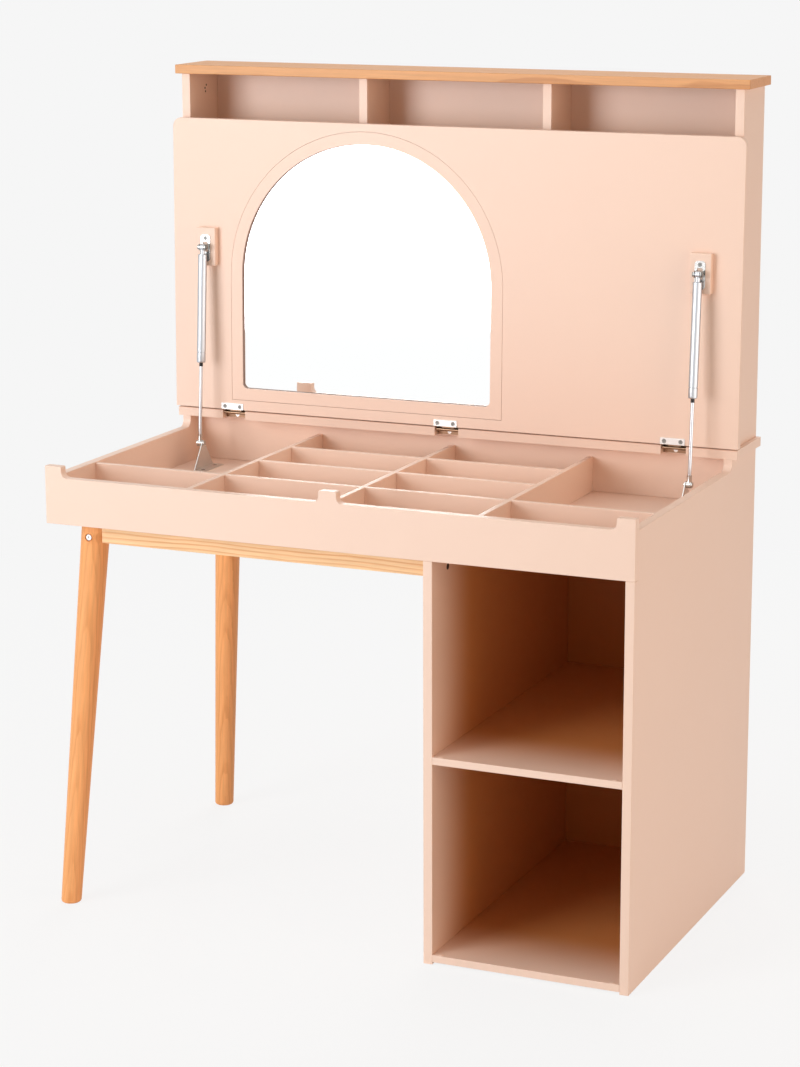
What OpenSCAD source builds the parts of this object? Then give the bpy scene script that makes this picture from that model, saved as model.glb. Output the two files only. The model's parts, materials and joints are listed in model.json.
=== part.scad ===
// Flip top vanity table: a lidded tray box carried by a side cabinet and two splayed legs,
// with a shelf hutch that stands on a fixed rear strip. The lid turns on three hinges, holds
// an arched mirror on its underside and is kept up by two gas struts. It is drawn open.
//
// Frame: millimetres. The origin is on the floor under the middle of the desk, +X is to the
// right seen from the front, +Y is to the back and +Z is up.

/* [Overall] */
// Width across the two side panels
desk_w = 1000; // [960:10:1200]
// Depth from the front apron to the back edge
desk_d = 600; // [580:10:700]
// Height of the rear strip's top, which the closed lid is level with
desk_h = 760; // [700:10:820]

/* [Boards] */
// Thickness of the lacquered boards
board_t = 15; // [13:1:18]
// Thickness of the cabinet's shelves
shelf_t = 12; // [9:1:18]
// Thickness of the tray's dividers
divider_t = 9; // [6:1:12]
// Thickness of the thin back panels
back_t = 5; // [3:1:6]
// How far the thin back panels sit in from the back edges
back_inset = 2; // [0:1:6]

/* [Tray box] */
// Height of the tray box, up to the underside of the rear strip
tray_h = 95; // [85:1:120]
// How far the low rim lies under the rear strip's underside
rim_drop = 19; // [14:1:24]
// Distance of the tray's back board from the desk's back face
tray_back_in = 95; // [80:1:105]
// Width of the apron's two end tabs
end_tab_w = 30; // [24:1:40]
// Width of the apron's middle tab
mid_tab_w = 31; // [24:1:40]
// Radius at the foot of each tab
tab_fillet_r = 10; // [4:1:12]
// Radius on the upper corners of each tab
tab_corner_r = 3; // [1:0.5:4]
// Radius where the side panels rise to the rear strip
side_fillet_r = 12; // [6:1:13]
// How far the dividers' tops lie under the low rim
divider_drop = 2; // [0:1:8]
// Clear width of the tray's left bay
left_bay_w = 229.5; // [215:0.5:240]
// Clear width of each of the tray's two middle bays
mid_bay_w = 239; // [225:0.5:245]
// Clear depth in front of the first row of cross dividers
front_bay_d = 120.5; // [100:0.5:124]
// Distance from one row of cross dividers to the next
row_pitch = 122.5; // [110:0.5:126]

/* [Rear strip] */
// Depth of the fixed rear strip
strip_d = 130; // [126:1:140]
// How far the rear strip stands out past each side panel
strip_over = 8; // [0:1:12]
// Radius of the rear strip's upper front edge, which the lid swings past
strip_edge_r = 2.5; // [2.5:0.5:3.5]

/* [Side cabinet] */
// Width of the side cabinet, over its two panels
cabinet_w = 340; // [280:5:380]
// Height of the bottom shelf's underside above the floor
bottom_gap = 4; // [2:1:20]
// Height of the middle shelf's underside above the floor
middle_shelf_z = 328; // [250:1:400]
// Diameter of the covers over the shelf fixings
cover_d = 8; // [6:1:10]
// Thickness of the covers over the shelf fixings
cover_t = 0.8; // [0.5:0.1:1.5]
// Distance of each cover from the panel beside it
cover_side = 13; // [9:1:20]
// Distance of each cover from the front edge or the back panel
cover_end = 6; // [6:1:40]

/* [Legs and rails] */
// Diameter at the top of a leg
leg_top_d = 47; // [42:1:50]
// Diameter at the foot of a leg
leg_foot_d = 33.5; // [28:0.5:38]
// Distance of a leg's axis, at its top, from the left side face
leg_in_x = 55; // [52:1:70]
// Distance of a leg's axis, at its top, from the front or back face
leg_in_y = 66; // [62:1:80]
// How far each foot is splayed out, both sideways and front to back
leg_splay = 43.7; // [20:0.1:44]
// Height of the wooden rails
rail_h = 37; // [34:1:45]
// Thickness of the wooden rails
rail_t = 22; // [18:1:24]
// Distance of the long rails from the front or back face
rail_in_y = 50; // [46:1:56]
// Distance of the side rail from the left side face
rail_in_x = 42; // [38:1:46]
// Distance from a leg's upper axis to the end of each rail
rail_end = 18; // [16:0.5:20]

/* [Leg bolts] */
// Diameter of a leg bolt's shank
bolt_d = 6; // [5:1:6]
// Diameter of a leg bolt's head
bolt_head_d = 9.5; // [9:0.5:10.5]
// Diameter of the pocket that a leg bolt's head sits in
bolt_pocket_d = 13; // [12:0.5:15]
// Thickness of a leg bolt's head
bolt_head_t = 4; // [3:0.5:5]
// Width across the flats of the socket in the head
bolt_socket = 4; // [3:0.5:5]
// Depth of the socket in the head
bolt_socket_d = 2.4; // [1.5:0.1:2.6]
// Clearance around the bolt's shank and head
bolt_gap = 0.4; // [0.2:0.1:0.8]
// Distance from a leg's upper axis to the seat of a bolt's head
bolt_seat = 20; // [19:0.5:22]
// Distance from a rail's end to its barrel nut
nut_in = 30; // [24:1:36]
// Diameter of a barrel nut
nut_d = 10; // [9:0.5:12]
// Length of a barrel nut
nut_l = 14; // [10:1:16]
// How far the bolt's end stands out past the barrel nut's axis
bolt_past = 8; // [6:1:12]
// Depth of the front-to-back bolts below the tray's underside
low_bolt_z = 28; // [26:1:29]
// Depth of the side-to-side bolts below the tray's underside
high_bolt_z = 11; // [10:1:12]

/* [Hutch] */
// How much higher the hutch's panels are than the lid is long
hutch_rise = 76; // [20:1:150]
// Depth of the hutch's side panels
hutch_d = 109; // [100:1:109]
// Clear height of the row of cubbies
cubby_h = 200; // [160:5:230]
// How far the hutch's shelf and dividers sit behind its front edges
cubby_in = 10; // [0:1:15]
// How far the top board stands out past each side
top_over = 10; // [0:1:15]
// Depth of the top board
top_d = 115; // [110:1:120]

/* [Dowels] */
// Diameter of the dowels that join the boards
dowel_d = 8; // [6:1:8]
// Length of the dowels
dowel_l = 30; // [24:1:36]
// How deep the dowels go into the board whose face they stand in
dowel_in = 11; // [8:1:11]
// Distance of the hutch's dowels from its front and back edges
dowel_end = 24; // [15:1:30]
// Distance of the desk's dowels from its front and back faces
desk_dowel_end = 60; // [40:1:90]

/* [Lid] */
// How far the closed lid stands out past the apron
lid_front_over = 30; // [20:1:60]
// How far the lid stands out past each side panel
lid_over = 10; // [0:1:15]
// Radius of the lid's two free corners
lid_corner_r = 15; // [5:1:30]
// Gap between the closed lid's hinge edge and the rear strip
lid_gap = 1; // [0.8:0.1:1.2]
// Gap between the closed lid and the tabs it lies over
seat_gap = 0.5; // [0.3:0.1:1]
// Angle from the closed lid to the open lid
open_angle = 91; // [90:0.1:91]

/* [Mirror] */
// Width of the arched mirror
mirror_w = 459; // [380:1:470]
// Distance of the arched frame's top from the lid's free edge
frame_in = 14; // [8:1:60]
// Thickness of the mirror
mirror_t = 4; // [3:0.5:5]
// Distance of the mirror's centre line from the left side face
mirror_x = 350; // [340:1:360]
// Distance of the mirror's lower edge from the lid's hinge edge
mirror_edge = 39; // [38:0.5:45]
// Radius of the mirror's two lower corners
mirror_corner_r = 9; // [2:1:14]
// Width of the frame band around the mirror
frame_band = 20.5; // [15:0.5:21]
// Depth of the pocket that holds the frame and the mirror
pocket_d = 9; // [7:0.5:9]
// Width of the fine groove around the frame
frame_groove = 1; // [0.5:0.1:2]
// Clearance between the mirror and its frame
mirror_gap = 0.3; // [0.2:0.1:0.6]

/* [Hinges] */
// Width of a hinge leaf
leaf_w = 42; // [36:1:50]
// Thickness of a hinge leaf
leaf_t = 1.5; // [1.2:0.1:1.8]
// Height of the leaf that lies on the lid's underside
leaf_h = 11; // [10:0.5:14]
// Distance of the outer hinges' middles from the side faces
hinge_in = 100; // [90:5:140]
// Distance of the hinge pin behind the rear strip's front edge
pin_back = 6; // [5.5:0.1:6.5]
// Distance of the hinge pin below the rear strip's top
pin_drop = 4.5; // [4.2:0.1:5]
// Diameter of the hinge pin
pin_d = 2.6; // [2:0.1:3]
// Diameter of the hinge knuckles
knuckle_d = 5; // [4.6:0.1:5.4]
// Width of the lid's middle knuckle
knuckle_w = 21.4; // [16:0.2:26]
// Clearance between neighbouring knuckles
knuckle_gap = 0.3; // [0.2:0.1:0.6]
// Running clearance around every turning pin
run_gap = 0.05; // [0.03:0.01:0.08]
// Depth of the notches in the rear strip
notch_d = 15; // [13:0.5:18]
// Clearance on each side of a leaf in its notch
notch_gap = 0.5; // [0.3:0.1:1]
// Distance of the lid leaf's screws from its middle
leaf_screw_x = 14.1; // [10:0.1:15]
// Clearance above and below the leaf in its notch
leaf_edge = 1; // [0.5:0.1:1.2]
// Height of the strip leaf's screw above the strip's underside
leaf_screw_z = 5.6; // [5.5:0.1:6]

/* [Wood screws] */
// Diameter of a wood screw's head
screw_head_d = 7.6; // [7:0.1:8.4]
// Diameter of a wood screw's shank
screw_d = 3; // [2.5:0.1:3.5]
// Depth of a wood screw's countersunk head
screw_head_t = 1.4; // [1:0.1:1.5]
// Length of a wood screw under its head
screw_l = 9; // [6:0.5:10]
// Width of the cross in a wood screw's head
cross_w = 0.8; // [0.5:0.1:1]
// Depth of the cross in a wood screw's head
cross_d = 0.9; // [0.5:0.1:1]

/* [Gas struts] */
// Distance of each strut from the side face
strut_in = 57; // [54:1:62]
// Distance of the upper pivot from the lid's hinge edge
head_h = 282; // [276:1:286]
// Distance of the upper pivot from the lid's underside
head_drop = 23.5; // [22:0.5:26]
// Distance of the lower pivot in front of the rear strip
foot_in = 46; // [40:1:55]
// Height of the lower pivot above the tray's floor
foot_h = 43; // [38:1:48]
// Outer diameter of a strut's tube
tube_d = 15; // [13:0.5:16]
// Wall of a strut's tube
tube_wall = 1.7; // [1:0.1:2.5]
// Length of a strut's tube
tube_l = 186; // [170:1:190]
// Thickness of the closed end of the tube
tube_cap_t = 4; // [3:0.5:6]
// Distance of the crimped ring from the tube's open end
crimp_up = 17; // [12:1:24]
// Width of the crimped ring
crimp_w = 1.4; // [0.8:0.1:2]
// Depth of the crimped ring
crimp_d = 0.4; // [0.2:0.1:0.5]
// Diameter of a strut's rod
rod_d = 6; // [5:0.5:7]
// Length of the gland that guides the rod
gland_l = 10; // [8:1:12]
// Length of the piston on the rod's inner end
piston_l = 8; // [6:1:12]
// Gap between the piston and the gland when the strut is out
piston_gap = 4; // [2:1:8]
// Distance from the upper pivot to the tube's closed end
head_reach = 12; // [11:0.5:14]
// Distance from the lower pivot to the rod's visible end
foot_reach = 16; // [14:0.5:18]
// Outer diameter of the eyes at the two ends
eye_d = 11; // [10:0.5:12]
// Width of the eyes at the two ends
eye_w = 8; // [6:0.5:9]
// Diameter of the necks between the eyes and the strut
neck_d = 8; // [7:0.5:9]
// Diameter of the studs at the two pivots
stud_d = 5; // [4:0.5:6]
// Diameter of the studs' rounded heads
stud_head_d = 8; // [7:0.5:9]
// Thickness of the studs' rounded heads
stud_head_t = 2; // [1.5:0.5:3]
// Gap between the lower stud and its bracket
stud_gap = 0.3; // [0.3:0.1:0.6]

/* [Strut brackets] */
// Width of the blocks under the upper brackets
pad_w = 36; // [30:1:44]
// Length of the blocks under the upper brackets
pad_l = 65; // [60:1:75]
// Thickness of the blocks under the upper brackets
pad_t = 12; // [12:0.5:13]
// Distance of the blocks from the lid's hinge edge
pad_edge = 249.5; // [240:0.5:252]
// Width of the upper bracket's plate
plate_w = 18; // [16:1:22]
// Length of the upper bracket's plate
plate_l = 46; // [42:1:48]
// Distance from the plate's far end to the upper pivot
plate_up = 20.5; // [20:0.5:22]
// Radius of the upper bracket's corners
plate_r = 6; // [3:0.5:7]
// Thickness of the bracket plates
plate_t = 1.5; // [1.2:0.1:2]
// Distance of the plate's screws from its two ends
plate_screw = 6; // [5:0.5:7]
// Width of the slot that the ears are bent out of
slot_w = 9; // [8:0.5:9.5]
// Length of the slot that the ears are bent out of
slot_l = 18; // [14:1:20]
// Diameter of the rounded end of an ear, around its pivot
ear_d = 11; // [10:0.5:12]
// Distance from the strut's middle to the near face of an ear
ear_off = 5; // [4.8:0.1:5.5]
// Front-to-back length of the lower bracket
foot_w = 70; // [60:1:80]
// Width of the lower bracket's base
foot_base = 20; // [18:1:26]
// Distance of the base's screws from its middle
foot_screw = 22; // [16:1:26]

/* [Hidden] */
$fn = 48;

paint = [0.96, 0.83, 0.75];
paint_inside = [0.93, 0.78, 0.69];
pine = [0.93, 0.68, 0.43];
nickel = [0.80, 0.80, 0.79];
steel = [0.66, 0.67, 0.68];
silver = [0.86, 0.90, 0.92];
over = 1;

// Outer faces of the desk and inner faces of its side panels
left_x = -desk_w / 2;
right_x = desk_w / 2;
front_y = -desk_d / 2;
back_y = desk_d / 2;
in_left_x = left_x + board_t;
in_right_x = right_x - board_t;
in_front_y = front_y + board_t;

// Levels
strip_z = desk_h - board_t;
tray_z = strip_z - tray_h;
floor_z = tray_z + board_t;
rim_z = strip_z - rim_drop;
tab_z = strip_z - seat_gap;
divider_z = rim_z - divider_drop;

// Places
strip_y = back_y - strip_d;
tray_back_y = back_y - tray_back_in;
panel_back_y = back_y - back_inset - back_t;
hutch_y = back_y - hutch_d;
cabinet_x = right_x - cabinet_w;
in_cabinet_x = cabinet_x + board_t;
divider_x = [
    in_left_x + left_bay_w,
    in_left_x + left_bay_w + divider_t + mid_bay_w,
    in_left_x + left_bay_w + 2 * (divider_t + mid_bay_w)
];
row_y = [for (row = [0:2]) in_front_y + front_bay_d + row * row_pitch];
third_w = (in_right_x - in_left_x - 2 * board_t) / 3;
hutch_divider_x = [in_left_x + third_w, in_left_x + 2 * third_w + board_t];
hinge_x = [left_x + hinge_in, 0, right_x - hinge_in];

// The legs' true length, tilt and taper, and the bolts' distance to their nuts
leg_l = norm([leg_splay, leg_splay, tray_z]);
leg_tilt = atan(leg_splay * sqrt(2) / tray_z);
leg_grow = leg_top_d / 4;
leg_taper = (leg_top_d - leg_foot_d) / leg_l;
nut_z = bolt_seat + rail_end + nut_in;

// The hinge line, the closed lid and the turn that opens it
pin = [0, strip_y + pin_back, desk_h - pin_drop];
lid_edge_y = strip_y - lid_gap;
lid_front_y = front_y - lid_front_over;
lid_l = lid_edge_y - lid_front_y;
frame_r = mirror_w / 2 + frame_band;
arch_y = lid_front_y + frame_in + frame_r;
function opened(p) = [
    p[0],
    pin[1] + (p[1] - pin[1]) * cos(open_angle) + (p[2] - pin[2]) * sin(open_angle),
    pin[2] - (p[1] - pin[1]) * sin(open_angle) + (p[2] - pin[2]) * cos(open_angle)
];

// The struts: pivots on the closed lid, on the open lid and on the tray's floor
head_closed = [0, lid_edge_y - head_h, strip_z - head_drop];
head = opened(head_closed);
foot = [0, strip_y - foot_in, floor_z + foot_h];
strut_l = norm(head - foot);
strut_tilt = atan2(head[1] - foot[1], head[2] - foot[2]);
tube_end = head_reach + tube_l;
piston_z = tube_end - gland_l - piston_gap;
rod_end = strut_l - foot_reach;

// The hutch's panels and its row of cubbies
hutch_top_z = desk_h + lid_l + hutch_rise;
cubby_z = hutch_top_z - cubby_h;

// A box between two corners
module block(low, high) {
    translate(low)
        cube(high - low);
}

// The piece between a square corner at the origin and its radius. It runs a little past both
// sides, so it can fill an inner corner as well as cut an outer one.
module corner(r) {
    difference() {
        translate([-over, -over])
            square(r + over);
        translate([r, r])
            circle(r);
    }
}

// A flat plate around the origin with four rounded corners
module rounded_plate(w, l, r) {
    difference() {
        translate([-w / 2, -l / 2])
            square([w, l]);
        for (sx = [0, 1])
            for (sy = [0, 1])
                mirror([sx, 0])
                    mirror([0, sy])
                        translate([-w / 2, -l / 2])
                            corner(r);
    }
}

// Swings what is drawn on the closed lid up to the open lid
module open_lid() {
    translate(pin)
        rotate([-open_angle, 0, 0])
            translate(-pin)
                children();
}

// Copies to the left side and, mirrored, to the right side
module on_side(side) {
    if (side == "left") children();
    else mirror([1, 0, 0]) children();
}

// Moves to a strut's upper pivot, with -Z running down along the strut and +X to the inside
module along_strut(side) {
    translate([side == "left" ? left_x + strut_in : right_x - strut_in, head[1], head[2]])
        rotate([-strut_tilt, 0, 0])
            rotate(side == "left" ? 0 : 180)
                children();
}

// ---- Tray box ----

// One lowered stretch of the apron between two tabs
module rim_cut(from_x, to_x) {
    difference() {
        translate([from_x, rim_z])
            square([to_x - from_x, tab_z - rim_z + over]);
        translate([from_x, rim_z])
            corner(tab_fillet_r);
        translate([to_x, rim_z])
            mirror([1, 0])
                corner(tab_fillet_r);
    }
    translate([from_x, tab_z])
        rotate(180)
            corner(tab_corner_r);
    translate([to_x, tab_z])
        mirror([0, 1])
            corner(tab_corner_r);
}

module front_apron() {
    color(paint)
    translate([0, in_front_y, 0])
        rotate([90, 0, 0])
            linear_extrude(board_t)
                difference() {
                    translate([left_x, tray_z])
                        square([desk_w, tab_z - tray_z]);
                    rim_cut(left_x + end_tab_w, -mid_tab_w / 2);
                    rim_cut(mid_tab_w / 2, right_x - end_tab_w);
                }
}

// Outline of a side panel, seen from the side, from a lower level up
module side_outline(low_z) {
    translate([in_front_y, low_z])
        square([desk_d - board_t, rim_z - low_z]);
    translate([strip_y, low_z])
        square([strip_d, strip_z - low_z]);
    translate([strip_y, rim_z])
        mirror([1, 0])
            corner(side_fillet_r);
}

module tray_side_left() {
    color(paint)
    translate([left_x, 0, 0])
        rotate([90, 0, 90])
            linear_extrude(board_t)
                side_outline(tray_z);
}

module cabinet_side_right() {
    color(paint)
    translate([in_right_x, 0, 0])
        rotate([90, 0, 90])
            linear_extrude(board_t) {
                side_outline(0);
                translate([front_y, 0])
                    square([desk_d, tray_z]);
            }
}

module tray_back() {
    color(paint_inside)
    block([in_left_x, tray_back_y, floor_z], [in_right_x, tray_back_y + board_t, strip_z]);
}

module desk_back() {
    color(paint)
    block([in_left_x, back_y - board_t, floor_z], [in_right_x, back_y, strip_z]);
}

module tray_floor() {
    color(paint_inside)
    block([in_left_x, in_front_y, tray_z], [in_right_x, back_y, floor_z]);
}

module long_divider(index) {
    color(paint_inside)
    block([divider_x[index], in_front_y, floor_z],
          [divider_x[index] + divider_t, tray_back_y, divider_z]);
}

module tray_divider_left() { long_divider(0); }

module tray_divider_centre() { long_divider(1); }

module tray_divider_right() { long_divider(2); }

module cross_divider(from_x, to_x, row) {
    color(paint_inside)
    block([from_x, row_y[row], floor_z], [to_x, row_y[row] + divider_t, divider_z]);
}

module cross_divider_left() { cross_divider(in_left_x, divider_x[0], 0); }

module cross_dividers_centre_left() {
    for (row = [0:2]) cross_divider(divider_x[0] + divider_t, divider_x[1], row);
}

module cross_dividers_centre_right() {
    for (row = [0:2]) cross_divider(divider_x[1] + divider_t, divider_x[2], row);
}

module cross_divider_right() { cross_divider(divider_x[2] + divider_t, in_right_x, 0); }

module rear_strip() {
    color(paint)
    difference() {
        translate([left_x - strip_over, 0, 0])
            rotate([90, 0, 90])
                linear_extrude(desk_w + 2 * strip_over)
                    difference() {
                        translate([strip_y, strip_z])
                            square([strip_d, board_t]);
                        translate([strip_y, desk_h])
                            mirror([0, 1])
                                corner(strip_edge_r);
                    }
        for (x = hinge_x)
            block([x - leaf_w / 2 - notch_gap, strip_y - over, strip_z - over],
                  [x + leaf_w / 2 + notch_gap, strip_y + notch_d, desk_h + over]);
    }
}

// ---- Side cabinet ----

module cabinet_side_left() {
    color(paint)
    block([cabinet_x, front_y, 0], [in_cabinet_x, back_y, tray_z]);
}

module cabinet_back() {
    color(paint_inside)
    block([in_cabinet_x, panel_back_y, bottom_gap], [in_right_x, panel_back_y + back_t, tray_z]);
}

module cabinet_shelf(z) {
    color(paint)
    block([in_cabinet_x, front_y, z], [in_right_x, panel_back_y, z + shelf_t]);
}

module middle_shelf() { cabinet_shelf(middle_shelf_z); }

module bottom_shelf() { cabinet_shelf(bottom_gap); }

module shelf_fixing_covers() {
    color(paint_inside)
    for (z = [bottom_gap, middle_shelf_z])
        for (x = [in_cabinet_x + cover_side, in_right_x - cover_side])
            for (y = [front_y + cover_end, panel_back_y - cover_end])
                translate([x, y, z + shelf_t])
                    cylinder(h = cover_t, d = cover_d);
}

// ---- Legs, rails and their bolts ----

// Keeps one leg drawing for the front leg and its mirror image at the back
module at_leg(place) {
    if (place == "front") children();
    else mirror([0, 1, 0]) children();
}

module long_rail() {
    color(pine)
    block([left_x + leg_in_x + rail_end, front_y + rail_in_y, tray_z - rail_h],
          [cabinet_x, front_y + rail_in_y + rail_t, tray_z]);
}

module side_rail_body() {
    color(pine)
    block([left_x + rail_in_x, front_y + leg_in_y + rail_end, tray_z - rail_h],
          [left_x + rail_in_x + rail_t, back_y - leg_in_y - rail_end, tray_z]);
}

// The bolt's line from leg to rail: along +Z from the seat of its head
module on_low_bolt() {
    translate([left_x + rail_in_x + rail_t / 2, front_y + leg_in_y - bolt_seat, tray_z - low_bolt_z])
        rotate([-90, 0, 0])
            children();
}

module on_high_bolt() {
    translate([left_x + leg_in_x - bolt_seat, front_y + rail_in_y + rail_t / 2, tray_z - high_bolt_z])
        rotate([0, 90, 0])
            children();
}

module bolt() {
    color(steel) {
        cylinder(h = nut_z + bolt_past, d = bolt_d);
        difference() {
            translate([0, 0, -bolt_head_t])
                cylinder(h = bolt_head_t, d = bolt_head_d);
            translate([0, 0, -bolt_head_t - over])
                cylinder(h = bolt_socket_d + over, d = bolt_socket / cos(30), $fn = 6);
        }
    }
}

// The holes that a bolt needs: its head's pocket, its shank and its barrel nut
module bolt_holes() {
    translate([0, 0, -leg_top_d])
        cylinder(h = leg_top_d, d = bolt_pocket_d);
    translate([0, 0, -over])
        cylinder(h = nut_z + bolt_past + bolt_gap + over, d = bolt_d + 2 * bolt_gap);
}

module nut_body() {
    translate([-nut_l / 2, 0, nut_z])
        rotate([0, 90, 0])
            cylinder(h = nut_l, d = nut_d);
}

module barrel_nut() {
    color(steel)
    difference() {
        nut_body();
        cylinder(h = nut_z + nut_d, d = bolt_d);
    }
}

module leg() {
    color(pine)
    difference() {
        intersection() {
            translate([left_x + leg_in_x - leg_splay, front_y + leg_in_y - leg_splay, 0])
                rotate([0, leg_tilt, 45])
                    translate([0, 0, -leg_grow])
                        cylinder(h = leg_l + 2 * leg_grow, d1 = leg_foot_d - leg_grow * leg_taper,
                                 d2 = leg_top_d + leg_grow * leg_taper);
            block([left_x - desk_w, front_y - desk_d, 0], [0, 0, tray_z]);
        }
        long_rail();
        side_rail_body();
        on_low_bolt() bolt_holes();
        on_high_bolt() bolt_holes();
    }
}

module leg_front_left() { at_leg("front") leg(); }

module leg_back_left() { at_leg("back") leg(); }

module front_rail() {
    color(pine)
    difference() {
        long_rail();
        on_high_bolt() {
            bolt_holes();
            nut_body();
        }
    }
}

module rear_rail() { at_leg("back") front_rail(); }

module side_rail() {
    color(pine)
    difference() {
        side_rail_body();
        for (place = ["front", "back"])
            at_leg(place)
                on_low_bolt() {
                    bolt_holes();
                    nut_body();
                }
    }
}

module leg_bolts() {
    for (place = ["front", "back"])
        at_leg(place) {
            on_low_bolt() bolt();
            on_high_bolt() bolt();
        }
}

module barrel_nuts() {
    for (place = ["front", "back"])
        at_leg(place) {
            on_low_bolt() barrel_nut();
            on_high_bolt() barrel_nut();
        }
}

// ---- Hutch ----

module hutch_side(x) {
    color(paint)
    block([x, hutch_y, desk_h], [x + board_t, back_y, hutch_top_z]);
}

module hutch_side_left() { hutch_side(left_x); }

module hutch_side_right() { hutch_side(in_right_x); }

module hutch_back() {
    color(paint_inside)
    block([in_left_x, panel_back_y, desk_h], [in_right_x, panel_back_y + back_t, hutch_top_z]);
}

module hutch_shelf() {
    color(paint)
    block([in_left_x, hutch_y + cubby_in, cubby_z - board_t], [in_right_x, panel_back_y, cubby_z]);
}

module hutch_divider(index) {
    color(paint)
    block([hutch_divider_x[index], hutch_y + cubby_in, cubby_z],
          [hutch_divider_x[index] + board_t, panel_back_y, hutch_top_z]);
}

module hutch_divider_left() { hutch_divider(0); }

module hutch_divider_right() { hutch_divider(1); }

module top_board() {
    color(pine)
    block([left_x - top_over, back_y - top_d, hutch_top_z],
          [right_x + top_over, back_y, hutch_top_z + board_t]);
}

// ---- Dowels ----

// A dowel that stands in the face at the origin and reaches on along +Z
module dowel() {
    color(pine)
    translate([0, 0, -dowel_in])
        cylinder(h = dowel_l, d = dowel_d);
}

// Turns +Z to the left or to the right
module facing_side(way) {
    rotate([0, way * 90, 0])
        children();
}

module desk_dowels() {
    for (y = [front_y + desk_dowel_end, back_y - desk_dowel_end]) {
        translate([in_left_x, y, tray_z + board_t / 2]) facing_side(1) dowel();
        translate([in_right_x, y, tray_z + board_t / 2]) facing_side(-1) dowel();
        translate([cabinet_x + board_t / 2, y, tray_z]) rotate([180, 0, 0]) dowel();
        for (z = [bottom_gap, middle_shelf_z]) {
            translate([in_cabinet_x, y, z + shelf_t / 2]) facing_side(1) dowel();
            translate([in_right_x, y, z + shelf_t / 2]) facing_side(-1) dowel();
        }
    }
}

module hutch_dowels() {
    for (y = [hutch_y + dowel_end, back_y - dowel_end]) {
        for (x = [left_x + board_t / 2, right_x - board_t / 2]) {
            translate([x, y, desk_h]) dowel();
            translate([x, y, hutch_top_z]) rotate([180, 0, 0]) dowel();
        }
        translate([in_left_x, y, cubby_z - board_t / 2]) facing_side(1) dowel();
        translate([in_right_x, y, cubby_z - board_t / 2]) facing_side(-1) dowel();
        for (x = hutch_divider_x) {
            translate([x + board_t / 2, y, cubby_z]) dowel();
            translate([x + board_t / 2, y, hutch_top_z]) rotate([180, 0, 0]) dowel();
        }
    }
}

// ---- Lid and mirror, drawn on the closed lid ----

// The mirror's outline, grown by a margin: straight sides under a half circle
module arch(grow, r) {
    half = mirror_w / 2 + grow;
    low_y = lid_edge_y - mirror_edge + grow;
    translate([left_x + mirror_x, 0]) {
        difference() {
            translate([-half, arch_y])
                square([2 * half, low_y - arch_y]);
            if (r > 0)
                for (side = [0, 1])
                    mirror([side, 0])
                        translate([-half, low_y])
                            mirror([0, 1])
                                corner(r);
        }
        intersection() {
            translate([0, arch_y])
                circle(half, $fn = 120);
            translate([-half, arch_y - half])
                square([2 * half, half + over]);
        }
    }
}

module lid_panel() {
    color(paint)
    open_lid()
        difference() {
            translate([0, 0, strip_z])
                linear_extrude(board_t)
                    difference() {
                        translate([left_x - lid_over, lid_front_y])
                            square([desk_w + 2 * lid_over, lid_l]);
                        for (side = [0, 1])
                            mirror([side, 0])
                                translate([left_x - lid_over, lid_front_y])
                                    corner(lid_corner_r);
                    }
            translate([0, 0, strip_z - over])
                linear_extrude(pocket_d + over)
                    arch(frame_band + frame_groove, 0);
            for (x = hinge_x)
                block([x - leaf_w / 2 - notch_gap, lid_edge_y - leaf_t, strip_z - over],
                      [x + leaf_w / 2 + notch_gap, lid_edge_y + over, desk_h + over]);
        }
}

module mirror_frame() {
    color(paint)
    open_lid()
        translate([0, 0, strip_z])
            linear_extrude(pocket_d)
                difference() {
                    arch(frame_band, 0);
                    arch(mirror_gap, mirror_corner_r + mirror_gap);
                }
}

module mirror_glass() {
    color(silver)
    open_lid()
        translate([0, 0, strip_z + pocket_d - mirror_t])
            linear_extrude(mirror_t)
                arch(0, mirror_corner_r);
}

// ---- Wood screws ----

// The screw's outer shape, with its head's face at the origin and its point along -Z
module screw_shape() {
    translate([0, 0, -screw_head_t])
        cylinder(h = screw_head_t, d1 = screw_d, d2 = screw_head_d);
    translate([0, 0, -screw_head_t - screw_l])
        cylinder(h = screw_l + screw_head_t / 2, d = screw_d);
}

module wood_screw() {
    color(steel)
    difference() {
        screw_shape();
        for (turn = [0, 90])
            rotate(turn)
                translate([-screw_d / 2, -cross_w / 2, -cross_d])
                    cube([screw_d, cross_w, cross_d + over]);
    }
}

// ---- Hinges ----

module at_lid_leaf_screws() {
    for (x = hinge_x)
        for (side = [-1, 1])
            translate([x + side * leaf_screw_x, lid_edge_y - leaf_h / 2, strip_z - leaf_t])
                rotate([180, 0, 0])
                    children();
}

module at_strip_leaf_screws() {
    for (x = hinge_x)
        translate([x, strip_y + notch_d - leaf_t, strip_z + leaf_screw_z])
            rotate([90, 0, 0])
                children();
}

// Something round that runs along the hinge line between two places
module on_hinge(from_x, to_x, d) {
    translate([from_x, pin[1], pin[2]])
        rotate([0, 90, 0])
            cylinder(h = to_x - from_x, d = d);
}

module lid_leaf(x) {
    knuckle_top = pin[2] + knuckle_d / 2;
    block([x - leaf_w / 2, lid_edge_y - leaf_h, strip_z - leaf_t],
          [x + leaf_w / 2, lid_edge_y, strip_z]);
    block([x - leaf_w / 2, lid_edge_y - leaf_t, strip_z - leaf_t],
          [x + leaf_w / 2, lid_edge_y, knuckle_top]);
    block([x - knuckle_w / 2, lid_edge_y - leaf_t, knuckle_top - leaf_t],
          [x + knuckle_w / 2, pin[1], knuckle_top]);
    on_hinge(x - knuckle_w / 2, x + knuckle_w / 2, knuckle_d);
}

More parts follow.
